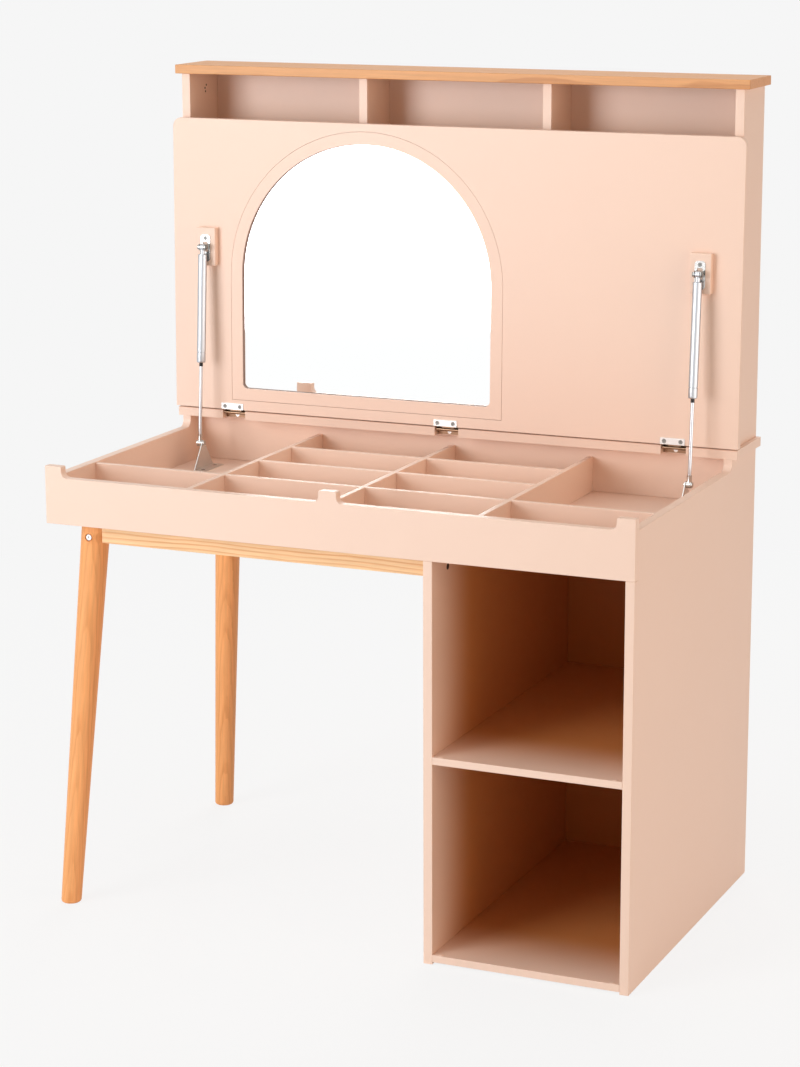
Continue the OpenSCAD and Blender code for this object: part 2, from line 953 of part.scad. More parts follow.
module hinge_lid_leaves() {
    color(nickel)
    open_lid()
        difference() {
            for (x = hinge_x) lid_leaf(x);
            for (x = hinge_x) on_hinge(x - leaf_w, x + leaf_w, pin_d + 2 * run_gap);
            at_lid_leaf_screws() screw_shape();
        }
}

module hinge_lid_screws() { open_lid() at_lid_leaf_screws() wood_screw(); }

module strip_leaf(x) {
    leaf_y = strip_y + notch_d - leaf_t;
    knuckle_low = pin[2] - knuckle_d / 2;
    block([x - leaf_w / 2, leaf_y, strip_z + leaf_edge],
          [x + leaf_w / 2, leaf_y + leaf_t, desk_h - leaf_edge]);
    for (side = [0, 1])
        translate([x, 0, 0])
            mirror([side, 0, 0]) {
                block([knuckle_w / 2 + knuckle_gap, pin[1], knuckle_low],
                      [leaf_w / 2, leaf_y + leaf_t, knuckle_low + leaf_t]);
                on_hinge(knuckle_w / 2 + knuckle_gap, leaf_w / 2, knuckle_d);
            }
}

module hinge_strip_leaves() {
    color(nickel)
    difference() {
        for (x = hinge_x) strip_leaf(x);
        for (x = hinge_x) on_hinge(x - leaf_w, x + leaf_w, pin_d);
        at_strip_leaf_screws() screw_shape();
    }
}

module hinge_strip_screws() { at_strip_leaf_screws() wood_screw(); }

module hinge_pins() {
    color(steel)
    for (x = hinge_x) on_hinge(x - leaf_w / 2, x + leaf_w / 2, pin_d);
}

// ---- Upper strut brackets, drawn on the closed lid ----

module strut_pad(side) {
    color(paint)
    open_lid()
        on_side(side)
            block([left_x + strut_in - pad_w / 2, lid_edge_y - pad_edge - pad_l, strip_z - pad_t],
                  [left_x + strut_in + pad_w / 2, lid_edge_y - pad_edge, strip_z]);
}

module strut_pad_left() { strut_pad("left"); }

module strut_pad_right() { strut_pad("right"); }

// Something round that lies across a pivot, between two places
module across(from_x, to_x, d) {
    translate([from_x, 0, 0])
        rotate([0, 90, 0])
            cylinder(h = to_x - from_x, d = d);
}

module at_head(side) {
    open_lid()
        on_side(side)
            translate([left_x + strut_in, head_closed[1], head_closed[2]])
                children();
}

module at_head_screws() {
    for (y = [plate_screw - plate_up, plate_l - plate_up - plate_screw])
        translate([0, y, head_drop - pad_t - plate_t])
            rotate([180, 0, 0])
                children();
}

// An ear around a pivot, standing on a face at a given height
module ear(height, foot_l) {
    rotate([90, 0, 90])
        linear_extrude(plate_t)
            difference() {
                union() {
                    polygon([[-foot_l / 2, height], [foot_l / 2, height],
                             [ear_d / 2, 0], [-ear_d / 2, 0]]);
                    circle(d = ear_d);
                }
                circle(d = stud_d);
            }
}

module head_bracket() {
    plate_z = head_drop - pad_t;
    difference() {
        translate([0, plate_l / 2 - plate_up, plate_z - plate_t])
            linear_extrude(plate_t)
                rounded_plate(plate_w, plate_l, plate_r);
        translate([-slot_w / 2, -slot_l / 2, plate_z - plate_t - over])
            cube([slot_w, slot_l, plate_t + 2 * over]);
        at_head_screws() screw_shape();
    }
    for (flip = [0, 1])
        mirror([flip, 0, 0])
            translate([ear_off, 0, 0])
                ear(plate_z, ear_d);
}

module strut_head_brackets() {
    color(nickel)
    for (side = ["left", "right"]) at_head(side) head_bracket();
}

module strut_head_screws() {
    for (side = ["left", "right"]) at_head(side) at_head_screws() wood_screw();
}

module strut_head_pins() {
    ear_face = ear_off + plate_t;
    color(steel)
    for (side = ["left", "right"])
        at_head(side) {
            across(-ear_face - stud_head_t, ear_face + stud_head_t, stud_d);
            across(-ear_face - stud_head_t, -ear_face, stud_head_d);
            across(ear_face, ear_face + stud_head_t, stud_head_d);
        }
}

// ---- Gas struts ----

bore_d = tube_d - 2 * tube_wall;

module strut_tube(side) {
    color(silver)
    along_strut(side)
        difference() {
            union() {
                translate([0, 0, -tube_end])
                    cylinder(h = tube_l, d = tube_d);
                translate([0, 0, -head_reach - over])
                    cylinder(h = head_reach + over, d = neck_d);
                across(-eye_w / 2, eye_w / 2, eye_d);
            }
            translate([0, 0, -tube_end - over])
                cylinder(h = tube_l - tube_cap_t + over, d = bore_d);
            across(-eye_w, eye_w, stud_d + 2 * run_gap);
            translate([0, 0, crimp_up - tube_end])
                difference() {
                    cylinder(h = crimp_w, d = tube_d + 2 * over);
                    translate([0, 0, -over])
                        cylinder(h = crimp_w + 2 * over, d = tube_d - 2 * crimp_d);
                }
        }
}

module strut_tube_left() { strut_tube("left"); }

module strut_tube_right() { strut_tube("right"); }

module strut_gland(side) {
    color(steel)
    along_strut(side)
        translate([0, 0, -tube_end])
            difference() {
                cylinder(h = gland_l, d = bore_d);
                translate([0, 0, -over])
                    cylinder(h = gland_l + 2 * over, d = rod_d + 2 * run_gap);
            }
}

module strut_gland_left() { strut_gland("left"); }

module strut_gland_right() { strut_gland("right"); }

module strut_rod(side) {
    color(nickel)
    along_strut(side) {
        translate([0, 0, -rod_end])
            cylinder(h = rod_end - piston_z, d = rod_d);
        translate([0, 0, -piston_z])
            cylinder(h = piston_l, d = bore_d - 2 * run_gap);
    }
}

module strut_rod_left() { strut_rod("left"); }

module strut_rod_right() { strut_rod("right"); }

// The lower eye, with the stud that stops short of its bracket
module strut_rod_end(side) {
    color(nickel)
    along_strut(side)
        translate([0, 0, -strut_l]) {
            cylinder(h = foot_reach, d = neck_d);
            across(-eye_w / 2, eye_w / 2, eye_d);
            across(0, ear_off - stud_gap, stud_d);
            across(-eye_w / 2 - stud_head_t, 0, stud_head_d);
        }
}

module strut_rod_end_left() { strut_rod_end("left"); }

module strut_rod_end_right() { strut_rod_end("right"); }

// ---- Lower strut brackets ----

module at_foot(side) {
    on_side(side)
        translate([left_x + strut_in, foot[1], foot[2]])
            children();
}

module at_foot_screws() {
    for (end = [-1, 1])
        translate([ear_off + plate_t + foot_base / 2, end * foot_screw, plate_t - foot_h])
            children();
}

module foot_bracket() {
    translate([ear_off, 0, 0])
        ear(-foot_h, foot_w);
    difference() {
        block([ear_off, -foot_w / 2, -foot_h],
              [ear_off + plate_t + foot_base, foot_w / 2, plate_t - foot_h]);
        at_foot_screws() screw_shape();
    }
}

module strut_foot_brackets() {
    color(nickel)
    for (side = ["left", "right"]) at_foot(side) foot_bracket();
}

module strut_foot_studs() {
    color(steel)
    for (side = ["left", "right"])
        at_foot(side) {
            across(ear_off, ear_off + plate_t + stud_head_t, stud_d);
            across(ear_off + plate_t, ear_off + plate_t + stud_head_t, stud_head_d);
        }
}

module strut_foot_screws() {
    for (side = ["left", "right"]) at_foot(side) at_foot_screws() wood_screw();
}

front_apron();
tray_side_left();
cabinet_side_right();
tray_back();
desk_back();
tray_floor();
tray_divider_left();
tray_divider_centre();
tray_divider_right();
cross_divider_left();
cross_dividers_centre_left();
cross_dividers_centre_right();
cross_divider_right();
rear_strip();
cabinet_side_left();
cabinet_back();
middle_shelf();
bottom_shelf();
shelf_fixing_covers();
leg_front_left();
leg_back_left();
front_rail();
rear_rail();
side_rail();
leg_bolts();
barrel_nuts();
hutch_side_left();
hutch_side_right();
hutch_back();
hutch_shelf();
hutch_divider_left();
hutch_divider_right();
top_board();
desk_dowels();
hutch_dowels();
lid_panel();
mirror_frame();
mirror_glass();
strut_pad_left();
strut_pad_right();
hinge_lid_leaves();
hinge_lid_screws();
hinge_strip_leaves();
hinge_strip_screws();
hinge_pins();
strut_head_brackets();
strut_head_screws();
strut_head_pins();
strut_tube_left();
strut_tube_right();
strut_gland_left();
strut_gland_right();
strut_rod_left();
strut_rod_right();
strut_rod_end_left();
strut_rod_end_right();
strut_foot_brackets();
strut_foot_studs();
strut_foot_screws();
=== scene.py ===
# %% [markdown]
# # A flip top vanity table
# A blush lacquered dressing table stands on a side cabinet and two splayed pine legs. Its lid is
# open: it carries an arched mirror and rests on two gas struts over a divided tray, with a shelf
# hutch behind it. The measured CAD model is loaded first, as a frame that is never moved. Every
# finish and every softened edge is then built around it, so nothing has to be fitted by eye.

# %% Load the frame
import json
import math

import bmesh
import bpy
from mathutils import Matrix, Vector

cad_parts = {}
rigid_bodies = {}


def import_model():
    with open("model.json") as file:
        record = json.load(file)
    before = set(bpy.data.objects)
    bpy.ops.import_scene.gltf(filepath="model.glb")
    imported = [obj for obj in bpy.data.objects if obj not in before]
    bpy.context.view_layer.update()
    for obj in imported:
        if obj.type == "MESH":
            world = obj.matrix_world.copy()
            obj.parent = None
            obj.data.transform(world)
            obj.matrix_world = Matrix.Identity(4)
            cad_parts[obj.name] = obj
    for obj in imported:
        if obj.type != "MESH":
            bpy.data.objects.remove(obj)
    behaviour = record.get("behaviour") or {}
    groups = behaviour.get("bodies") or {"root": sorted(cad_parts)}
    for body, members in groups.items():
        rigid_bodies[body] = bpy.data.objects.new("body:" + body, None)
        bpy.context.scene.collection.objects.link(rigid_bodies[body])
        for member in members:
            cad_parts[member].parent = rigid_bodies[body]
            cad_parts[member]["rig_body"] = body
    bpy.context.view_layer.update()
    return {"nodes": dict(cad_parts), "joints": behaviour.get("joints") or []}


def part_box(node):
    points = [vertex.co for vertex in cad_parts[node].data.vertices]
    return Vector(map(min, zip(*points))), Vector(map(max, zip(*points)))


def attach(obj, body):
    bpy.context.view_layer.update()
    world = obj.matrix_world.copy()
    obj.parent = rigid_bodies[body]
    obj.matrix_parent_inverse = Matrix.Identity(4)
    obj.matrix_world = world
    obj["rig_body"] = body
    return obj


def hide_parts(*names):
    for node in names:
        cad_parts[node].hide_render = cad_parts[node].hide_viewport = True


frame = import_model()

MM = 0.001
cad_nodes = frame["nodes"]

# %% [markdown]
# ## The photographer's place
# The camera's place was found by matching about 45 corners of the table with the photograph. It
# stands in front of the table and to its right, a third of a metre higher than its top, and looks
# down by 13 degrees. Its turn is built from three plain turns, so each number can be read:
# sideways, down and a slight roll. A long lens keeps the upright boards nearly parallel.

# %% Camera
CAMERA_PLACE = Vector((1.8228, -4.1435, 1.6685))
TURN_LEFT = 23.867    # degrees, as are the next two
LOOK_DOWN = 13.113
ROLL = -0.186
LENS = 95.77          # millimetres, as is the sensor's width
SENSOR = 36.0
NEAREST_SEEN = 0.1    # metres
FARTHEST_SEEN = 100.0


def aim(turn_left, look_down, roll):
    """The rotation of a camera that first looked level along +Y."""
    return (
        Matrix.Rotation(math.radians(turn_left), 4, "Z")
        @ Matrix.Rotation(math.radians(90 - look_down), 4, "X")
        @ Matrix.Rotation(math.radians(roll), 4, "Z")
    )


camera_data = bpy.data.cameras.new("photo_camera")
camera_data.lens = LENS
camera_data.sensor_width = SENSOR
camera_data.clip_start = NEAREST_SEEN
camera_data.clip_end = FARTHEST_SEEN
camera = bpy.data.objects.new("photo_camera", camera_data)
camera.matrix_world = Matrix.Translation(CAMERA_PLACE) @ aim(TURN_LEFT, LOOK_DOWN, ROLL)
bpy.context.scene.collection.objects.link(camera)
bpy.context.scene.camera = camera
print("camera at", tuple(round(v, 3) for v in CAMERA_PLACE))

# %% [markdown]
# ## Colours
# Colours are written the way a colour picker shows them and turned into the linear values that
# Blender's light works with. The view transform is Standard, so a colour in full light comes out
# about as it is written here.

# %% Colours
def colour(code):
    """A picker's RRGGBB code as linear RGBA, by the screen's own curve."""
    parts = [int(code[i : i + 2], 16) / 255 for i in (0, 2, 4)]
    linear = [p / 12.92 if p <= 0.04045 else ((p + 0.055) / 1.055) ** 2.4 for p in parts]
    return (*linear, 1.0)


bpy.context.scene.view_settings.view_transform = "Standard"
LACQUER = colour("F4D7C5")
print("blush lacquer:", [round(v, 3) for v in LACQUER[:3]])

# %% [markdown]
# ## Helpers for shader nodes
# A node tree is a list of small boxes joined by wires. These helpers add one box with its values
# already set, draw one wire, or do one sum, so each material below reads from top to bottom as a
# recipe.

# %% Node helpers
def add(tree, kind, **values):
    """A new node. A value is set on its property, or on its input socket of that name."""
    node = tree.nodes.new(kind)
    for name, value in values.items():
        if hasattr(node, name):
            setattr(node, name, value)
        else:
            node.inputs[name.replace("_", " ")].default_value = value
    return node


def wire(tree, source, target):
    """Joins two sockets."""
    tree.links.new(source, target)


def maths(tree, operation, *values):
    """The result of a Math node, whose inputs are given as sockets or as plain numbers."""
    node = add(tree, "ShaderNodeMath", operation=operation)
    for socket, value in zip(node.inputs, values):
        if isinstance(value, bpy.types.NodeSocket):
            wire(tree, value, socket)
        else:
            socket.default_value = value
    return node.outputs[0]


def remap(tree, value, span, onto, **more):
    """A value whose span, from low to high, is stretched onto another one and held within it."""
    node = add(tree, "ShaderNodeMapRange", From_Min=span[0], From_Max=span[1], To_Min=onto[0],
               To_Max=onto[1], **more)
    wire(tree, value, node.inputs["Value"])
    return node.outputs["Result"]


print("node helpers:", [helper.__name__ for helper in (add, wire, maths, remap)])

# %% [markdown]
# ## Helpers for groups and materials
# An effect that several finishes share is built once, as a node group with named sockets, and
# each material then places it with its own values. A Mix node keeps the sockets of every kind of
# value under the same names, so its colour sockets are called by their numbers.

# %% Group and material helpers
MIX_A = 6
MIX_B = 7
MIX_RESULT = 2
KINDS = {"value": "NodeSocketFloat", "vector": "NodeSocketVector", "colour": "NodeSocketColor"}


def new_group(name, inputs, outputs):
    """A node group with named sockets, its input node and its output node."""
    group = bpy.data.node_groups.new(name, "ShaderNodeTree")
    for label, kind, default in inputs:
        socket = group.interface.new_socket(label, in_out="INPUT", socket_type=KINDS[kind])
        if default is not None:
            socket.default_value = default
    for label, kind in outputs:
        group.interface.new_socket(label, in_out="OUTPUT", socket_type=KINDS[kind])
    return group, group.nodes.new("NodeGroupInput"), group.nodes.new("NodeGroupOutput")


def new_material(name):
    """An empty material, its tree and its Principled shader."""
    material = bpy.data.materials.new(name)
    material.use_nodes = True
    tree = material.node_tree
    shader = tree.nodes["Principled BSDF"]
    return material, tree, shader


def place_group(tree, group, **values):
    """Puts a node group into a material with its own values."""
    return add(tree, "ShaderNodeGroup", node_tree=group, **values)


def wire_surface(tree, group_node, shader, strength, depth):
    """Wires a group's colour, roughness and height, as a bump of some depth, to a shader."""
    bump = add(tree, "ShaderNodeBump", Strength=strength, Distance=depth)
    wire(tree, group_node.outputs["Colour"], shader.inputs["Base Color"])
    wire(tree, group_node.outputs["Roughness"], shader.inputs["Roughness"])
    wire(tree, group_node.outputs["Height"], bump.inputs["Height"])
    wire(tree, bump.outputs["Normal"], shader.inputs["Normal"])


print("sockets a group can have:", sorted(KINDS))

# %% [markdown]
# ## Skin of a painted or metal surface
# No real surface is perfectly even. Sprayed lacquer has a faint ripple, called orange peel, and
# plated metal has fine marks from polishing. One group makes both: a broad noise shifts the
# colour by a hair, a finer one varies the gloss, and the finest gives the height for a Bump node.
# Each material then asks for its own scale and strength.

# %% Surface skin group
BLOTCH_SCALE = 3.5      # broad blotches of colour, per metre
GLOSS_SCALE = 45.0      # spots of another gloss, per metre
NOISE_MIDDLE = 0.5      # the value that a noise swings about


def make_skin():
    """The group that makes a colour, a gloss and a height slightly uneven."""
    group, start, end = new_group(
        "surface_skin",
        [("Colour", "colour", (0.8, 0.8, 0.8, 1)), ("Ripple Scale", "value", 300.0),
         ("Shift", "value", 0.03), ("Roughness", "value", 0.4), ("Gloss Shift", "value", 0.05)],
        [("Colour", "colour"), ("Roughness", "value"), ("Height", "value")],
    )
    place = add(group, "ShaderNodeTexCoord")
    blotches = add(group, "ShaderNodeTexNoise", Scale=BLOTCH_SCALE, Detail=2.0)
    spots = add(group, "ShaderNodeTexNoise", Scale=GLOSS_SCALE, Detail=3.0)
    ripple = add(group, "ShaderNodeTexNoise", Detail=2.0)
    for texture in (blotches, spots, ripple):
        wire(group, place.outputs["Object"], texture.inputs["Vector"])
    wire(group, start.outputs["Ripple Scale"], ripple.inputs["Scale"])

    # The brightness swings about 1, and the gloss about the material's own roughness
    shift = maths(group, "SUBTRACT", blotches.outputs["Fac"], NOISE_MIDDLE)
    brightness = maths(group, "MULTIPLY_ADD", shift, start.outputs["Shift"], 1.0)
    spread = maths(group, "SUBTRACT", spots.outputs["Fac"], NOISE_MIDDLE)
    gloss = maths(group, "MULTIPLY_ADD", spread, start.outputs["Gloss Shift"],
                  start.outputs["Roughness"])
    tint = add(group, "ShaderNodeHueSaturation")
    wire(group, start.outputs["Colour"], tint.inputs["Color"])
    wire(group, brightness, tint.inputs["Value"])
    wire(group, tint.outputs["Color"], end.inputs["Colour"])
    wire(group, gloss, end.inputs["Roughness"])
    wire(group, ripple.outputs["Fac"], end.inputs["Height"])
    return group


surface_skin = make_skin()
print("group:", surface_skin.name)

# %% [markdown]
# ## A material with that skin
# The group puts out a colour, a roughness and a height, and the material wires them to its
# shader. Metallic is the same all over, so it is set on the shader's own socket.

# %% Material from the skin
def skinned(name, base, roughness, ripple, depth, shift=0.03, gloss_shift=0.06, metallic=0.0):
    """A material with a ripple of so many waves per metre and such a depth in metres."""
    material, tree, shader = new_material(name)
    skin = place_group(tree, surface_skin, Colour=base, Ripple_Scale=ripple, Shift=shift,
                       Roughness=roughness, Gloss_Shift=gloss_shift)
    wire_surface(tree, skin, shader, 1.0, depth)
    shader.inputs["Metallic"].default_value = metallic
    return material


gland_black = skinned("black_plastic", colour("101010"), 0.30, ripple=800.0, depth=0.01 * MM)
print("first material:", gland_black.name)

# %% [markdown]
# ## Lacquer
# The boards have a satin lacquer: mostly matt, with a soft sheen where the light grazes them.
# The same paint is used in four tones, so its gloss and its orange peel are named once. The
# greyer tone is painted shade for the narrow walls round the mirror, which lie in their own
# shade.

# %% Lacquers
LACQUER_ROUGHNESS = 0.42
PEEL_SCALE = 420.0
PEEL_DEPTH = 0.06 * MM
# Painted shade: the greyer lacquer of the mirror's narrow side walls
REVEAL_PAINTED_SHADE = colour("B0968A")


def lacquered(name, tone):
    """The table's satin lacquer in the given tone."""
    return skinned(name, tone, LACQUER_ROUGHNESS, PEEL_SCALE, PEEL_DEPTH)


lacquer = lacquered("satin_lacquer", LACQUER)
reveal_painted_shade = lacquered("reveal_painted_shade", REVEAL_PAINTED_SHADE)
print("lacquers:", lacquer.name, "and", reveal_painted_shade.name)

# %% [markdown]
# ## Metals
# Plated steel, aluminium and chrome differ only in colour, roughness and the size of their marks.
# The lower hinge leaves are the same nickel, but they are coloured a duller, warmer brown:
# painted reflection of the lacquer and painted shade of the notch they sit in.

# %% Metals
# Painted reflection and shade: the brown of the lower hinge leaves in their notch
LEAF_PAINTED_SHADE = colour("987B64")


def metal(name, tone, roughness, marks=900.0, depth=0.01 * MM, shift=0.03):
    """A bare or plated metal with fine polishing marks."""
    return skinned(name, tone, roughness, marks, depth, shift=shift, metallic=1.0)


nickel = metal("plated_nickel", colour("C2C1BE"), 0.20)
satin_nickel = metal("satin_hinge_nickel", colour("D6D5D2"), 0.34)
leaf_painted_shade = metal("nickel_leaf_painted_shade", LEAF_PAINTED_SHADE, 0.35)
zinc = metal("zinc_screws", colour("858481"), 0.50, marks=1500.0, depth=0.02 * MM, shift=0.15)
steel = metal("bolt_steel", colour("E6E6E4"), 0.30)
silver = metal("tube_aluminium", colour("BDC0C4"), 0.36, marks=700.0, depth=0.005 * MM)
chrome = metal("rod_chrome", colour("C8CACD"), 0.30, depth=0.005 * MM)
metals = (nickel, satin_nickel, leaf_painted_shade, zinc, steel, silver, chrome)
print("metals:", [finish.name for finish in metals])

# %% [markdown]
# ## Inside the cabinet
# The compartments are deep, and in the photograph their pale lacquer falls off into a warm brown
# shade. This finish paints that shade into the colour: the same lacquer with a deeper tone, which
# a mask lets in only inside the cabinet and only slowly from its front edge. The mask is a box
# test on the object coordinates, which are the table's own because no piece is moved.

# %% Mask helper
MASK_MARGIN = 0.5 * MM    # the box reaches this far past its corners, over faces that lie on it


def paint_shade_inside(material, low, high, reach, tone):
    """Paints shade into a material, as a deeper tone within a box that grows over `reach` from
    its front.
    """
    tree = material.node_tree
    shader = tree.nodes["Principled BSDF"]
    plain = shader.inputs["Base Color"].links[0].from_socket
    place = add(tree, "ShaderNodeTexCoord")
    split = add(tree, "ShaderNodeSeparateXYZ")
    wire(tree, place.outputs["Object"], split.inputs[0])
    shade_amount = remap(tree, split.outputs["Y"], (low[1], low[1] + reach), (0.0, 1.0),
                   interpolation_type="SMOOTHSTEP")
    for axis in range(3):
        middle = (low[axis] + high[axis]) / 2
        half = (high[axis] - low[axis]) / 2 + MASK_MARGIN
        within = maths(tree, "COMPARE", split.outputs[axis], middle, half)
        shade_amount = maths(tree, "MULTIPLY", shade_amount, within)
    mix = add(tree, "ShaderNodeMix", data_type="RGBA")
    mix.inputs[MIX_B].default_value = tone
    wire(tree, shade_amount, mix.inputs["Factor"])
    wire(tree, plain, mix.inputs[MIX_A])
    wire(tree, mix.outputs[MIX_RESULT], shader.inputs["Base Color"])


print("mask margin:", MASK_MARGIN, "m")

# %% [markdown]
# The back panel lies in the deepest shade, so it has a lacquer of its own, with the deepest
# painted shade.

# %% Lacquer of the cabinet, with painted shade
# Painted shade: deeper tones that darken the cabinet's inside from its front edge towards its
# back
CABINET_PAINTED_SHADE = colour("D08E55")
BACK_PANEL_PAINTED_SHADE = colour("BC702F")
BOARD_REACH = 0.17        # metres from the front to the full tone, on shelves and sides
BACK_REACH = 0.2          # the same for the back panel
panel_low, panel_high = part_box("cabinet_back")
shelf_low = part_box("bottom_shelf")[0]
inside_low = (panel_low[0], shelf_low[1], panel_low[2])
inside_high = (panel_high[0], panel_low[1], panel_high[2])
cabinet_lacquer_with_painted_shade = lacquered("cabinet_lacquer_with_painted_shade", LACQUER)
paint_shade_inside(cabinet_lacquer_with_painted_shade, inside_low, inside_high, BOARD_REACH, CABINET_PAINTED_SHADE)
back_panel_painted_shade = lacquered("back_panel_painted_shade", LACQUER)
paint_shade_inside(back_panel_painted_shade, inside_low, inside_high, BACK_REACH, BACK_PANEL_PAINTED_SHADE)
print("cabinet lacquer deepens towards", round(panel_low[1], 3), "m")

# %% [markdown]
# ## Growth rings
# The legs and rails are pine with its long grain showing, and the top board is wood as well. A
# tree's growth rings are nested tubes round its pith. The group rebuilds them: it measures the
# distance from the pith, adds a slow sway and colours each year from pale to dark, so a sawn or
# turned face shows stripes and pointed arches by itself. Each wooden piece stores its own
# coordinates in an attribute, with Z along its length and the pith beside it: the grain then
# follows a splayed leg as well as a level rail.

# %% Growth rings
SWAY_SQUEEZE = (22, 22, 5)      # waves per metre, across, across and along the grain
DARKENS_AT = 0.40               # parts of a year: the wood begins to darken,
DARKEST_AT = 0.90               # is darkest,
PALE_AGAIN_AT = 0.99            # and is pale again
ACROSS_GRAIN = (1, 1, 0)
BLACK = (0, 0, 0, 1)


def squeezed_noise(group, grain, squeeze, **values):
    """Noise with its own number of waves along each axis of the grain coordinates."""
    scaled = add(group, "ShaderNodeVectorMath", operation="MULTIPLY")
    scaled.inputs[1].default_value = squeeze
    texture = add(group, "ShaderNodeTexNoise", Scale=1.0, **values)
    wire(group, grain, scaled.inputs[0])
    wire(group, scaled.outputs[0], texture.inputs["Vector"])
    return texture.outputs["Fac"]


def year_rings(group, start):
    """How far the wood has darkened, from the distance to the pith counted in years."""
    grain = start.outputs["Grain"]
    across = add(group, "ShaderNodeVectorMath", operation="MULTIPLY")
    across.inputs[1].default_value = ACROSS_GRAIN
    distance = add(group, "ShaderNodeVectorMath", operation="LENGTH")
    wire(group, grain, across.inputs[0])
    wire(group, across.outputs[0], distance.inputs[0])
    rings = maths(group, "DIVIDE", distance.outputs["Value"], start.outputs["Ring Width"])
    sway = squeezed_noise(group, grain, SWAY_SQUEEZE, Detail=3.0, Roughness=0.45)
    year = maths(group, "MULTIPLY_ADD", sway, start.outputs["Sway"], rings)
    darkening = add(group, "ShaderNodeValToRGB")
    darkening.color_ramp.interpolation = "EASE"
    darkening.color_ramp.elements[0].position = DARKENS_AT
    darkening.color_ramp.elements[1].position = DARKEST_AT
    darkening.color_ramp.elements.new(PALE_AGAIN_AT).color = BLACK
    wire(group, maths(group, "FRACT", year), darkening.inputs["Fac"])
    return darkening.outputs["Color"]


print("a year's wood darkens from", DARKENS_AT, "to", DARKEST_AT)

# %% [markdown]
# ## Wood
# Rings alone look printed. Real wood also has fine fibres, longer streaks, and patches where the
# rings are strong or faint. Three more noises add these, each drawn out along the grain.

# %% Wood group
FIBRE_SQUEEZE = (900, 900, 14)  # waves per metre, as above
STREAK_SQUEEZE = (230, 230, 10)
PATCH_SQUEEZE = (60, 60, 3)
COMMON_NOISE = (0.3, 0.7)       # where nearly all values of a noise lie
NARROW_NOISE = (0.35, 0.65)
PATCH_STRENGTH = (0.35, 1.1)    # how strong the rings are
STREAK_SHADE = (0.91, 1.04)     # how bright the wood is
FIBRE_SHADE = (0.93, 1.03)
WOOD_ROUGHNESS = (0.42, 0.56)


def make_wood():
    """The group that turns grain coordinates into wood with rings, patches and fibres."""
    group, start, end = new_group(
        "long_grain",
        [("Grain", "vector", None), ("Light", "colour", (0.8, 0.5, 0.3, 1)),
         ("Dark", "colour", (0.5, 0.25, 0.1, 1)), ("Contrast", "value", 0.7),
         ("Sway", "value", 1.0), ("Ring Width", "value", 0.006)],
        [("Colour", "colour"), ("Roughness", "value"), ("Height", "value")],
    )
    grain = start.outputs["Grain"]
    fibre = squeezed_noise(group, grain, FIBRE_SQUEEZE, Detail=4.0, Roughness=0.65)
    patch = squeezed_noise(group, grain, PATCH_SQUEEZE, Detail=2.0)
    streak = squeezed_noise(group, grain, STREAK_SQUEEZE, Detail=4.0, Roughness=0.6)

    # Rings, stronger in some patches than in others
    rings = maths(group, "MULTIPLY", year_rings(group, start), start.outputs["Contrast"])
    strength = remap(group, patch, COMMON_NOISE, PATCH_STRENGTH)
    mix = add(group, "ShaderNodeMix", data_type="RGBA")
    wire(group, maths(group, "MULTIPLY", rings, strength), mix.inputs["Factor"])
    wire(group, start.outputs["Light"], mix.inputs[MIX_A])
    wire(group, start.outputs["Dark"], mix.inputs[MIX_B])

    # Streaks and fibres, which change the brightness by a few percent
    streak_shade = remap(group, streak, NARROW_NOISE, STREAK_SHADE)
    fibre_shade = remap(group, fibre, COMMON_NOISE, FIBRE_SHADE)
    tint = add(group, "ShaderNodeHueSaturation")
    wire(group, mix.outputs[MIX_RESULT], tint.inputs["Color"])
    wire(group, maths(group, "MULTIPLY", streak_shade, fibre_shade), tint.inputs["Value"])
    wire(group, tint.outputs["Color"], end.inputs["Colour"])
    wire(group, remap(group, fibre, (0.0, 1.0), WOOD_ROUGHNESS), end.inputs["Roughness"])
    wire(group, fibre, end.inputs["Height"])
    return group


long_grain = make_wood()
print("group:", long_grain.name)

# %% [markdown]
# ## Three woods
# The legs are oiled and the deepest in colour, the rails paler, and the top board is browner and
# catches a little more light. The dowels are raw beech, hidden in the joints.

# %% Wood materials
PORE_DEPTH = 0.12 * MM
PORE_STRENGTH = 0.6


def wooden(name, light, dark, contrast, sway, ring_width, sheen=0.3):
    """A wood whose grain follows the piece's own grain attribute."""
    material, tree, shader = new_material(name)
    grain = add(tree, "ShaderNodeAttribute", attribute_name="grain")
    wood = place_group(tree, long_grain, Light=light, Dark=dark, Contrast=contrast, Sway=sway,
                       Ring_Width=ring_width)
    wire(tree, grain.outputs["Vector"], wood.inputs["Grain"])
    wire_surface(tree, wood, shader, PORE_STRENGTH, PORE_DEPTH)
    shader.inputs["Specular IOR Level"].default_value = sheen
    return material


leg_pine = wooden("leg_pine", light=colour("F9B172"), dark=colour("CD7934"), contrast=0.37,
                  sway=3.2, ring_width=3.2 * MM)
rail_pine = wooden("rail_pine", light=colour("FED7A7"), dark=colour("E19C62"), contrast=0.7,
                   sway=1.8, ring_width=6.0 * MM)
top_wood = wooden("top_board_wood", light=colour("DFA269"), dark=colour("BB7942"), contrast=0.6,
                  sway=2.0, ring_width=6.5 * MM, sheen=0.6)
dowel_wood = skinned("raw_beech", colour("C9A070"), 0.7, ripple=600.0, depth=0.05 * MM, shift=0.1)
print("woods:", [wood.name for wood in (leg_pine, rail_pine, top_wood, dowel_wood)])

# %% [markdown]
# ## Mirror
# A mirror is a metal surface with almost no roughness. A trace of noise in its gloss stands for
# the haze of real silvered glass, so its reflection is not unnaturally hard.

# %% Mirror finish
mirror = skinned("mirror_silver", colour("FEFFFF"), 0.015, ripple=60.0, depth=0.0, shift=0.005,
                 gloss_shift=0.01, metallic=1.0)
print("mirror:", mirror.name)

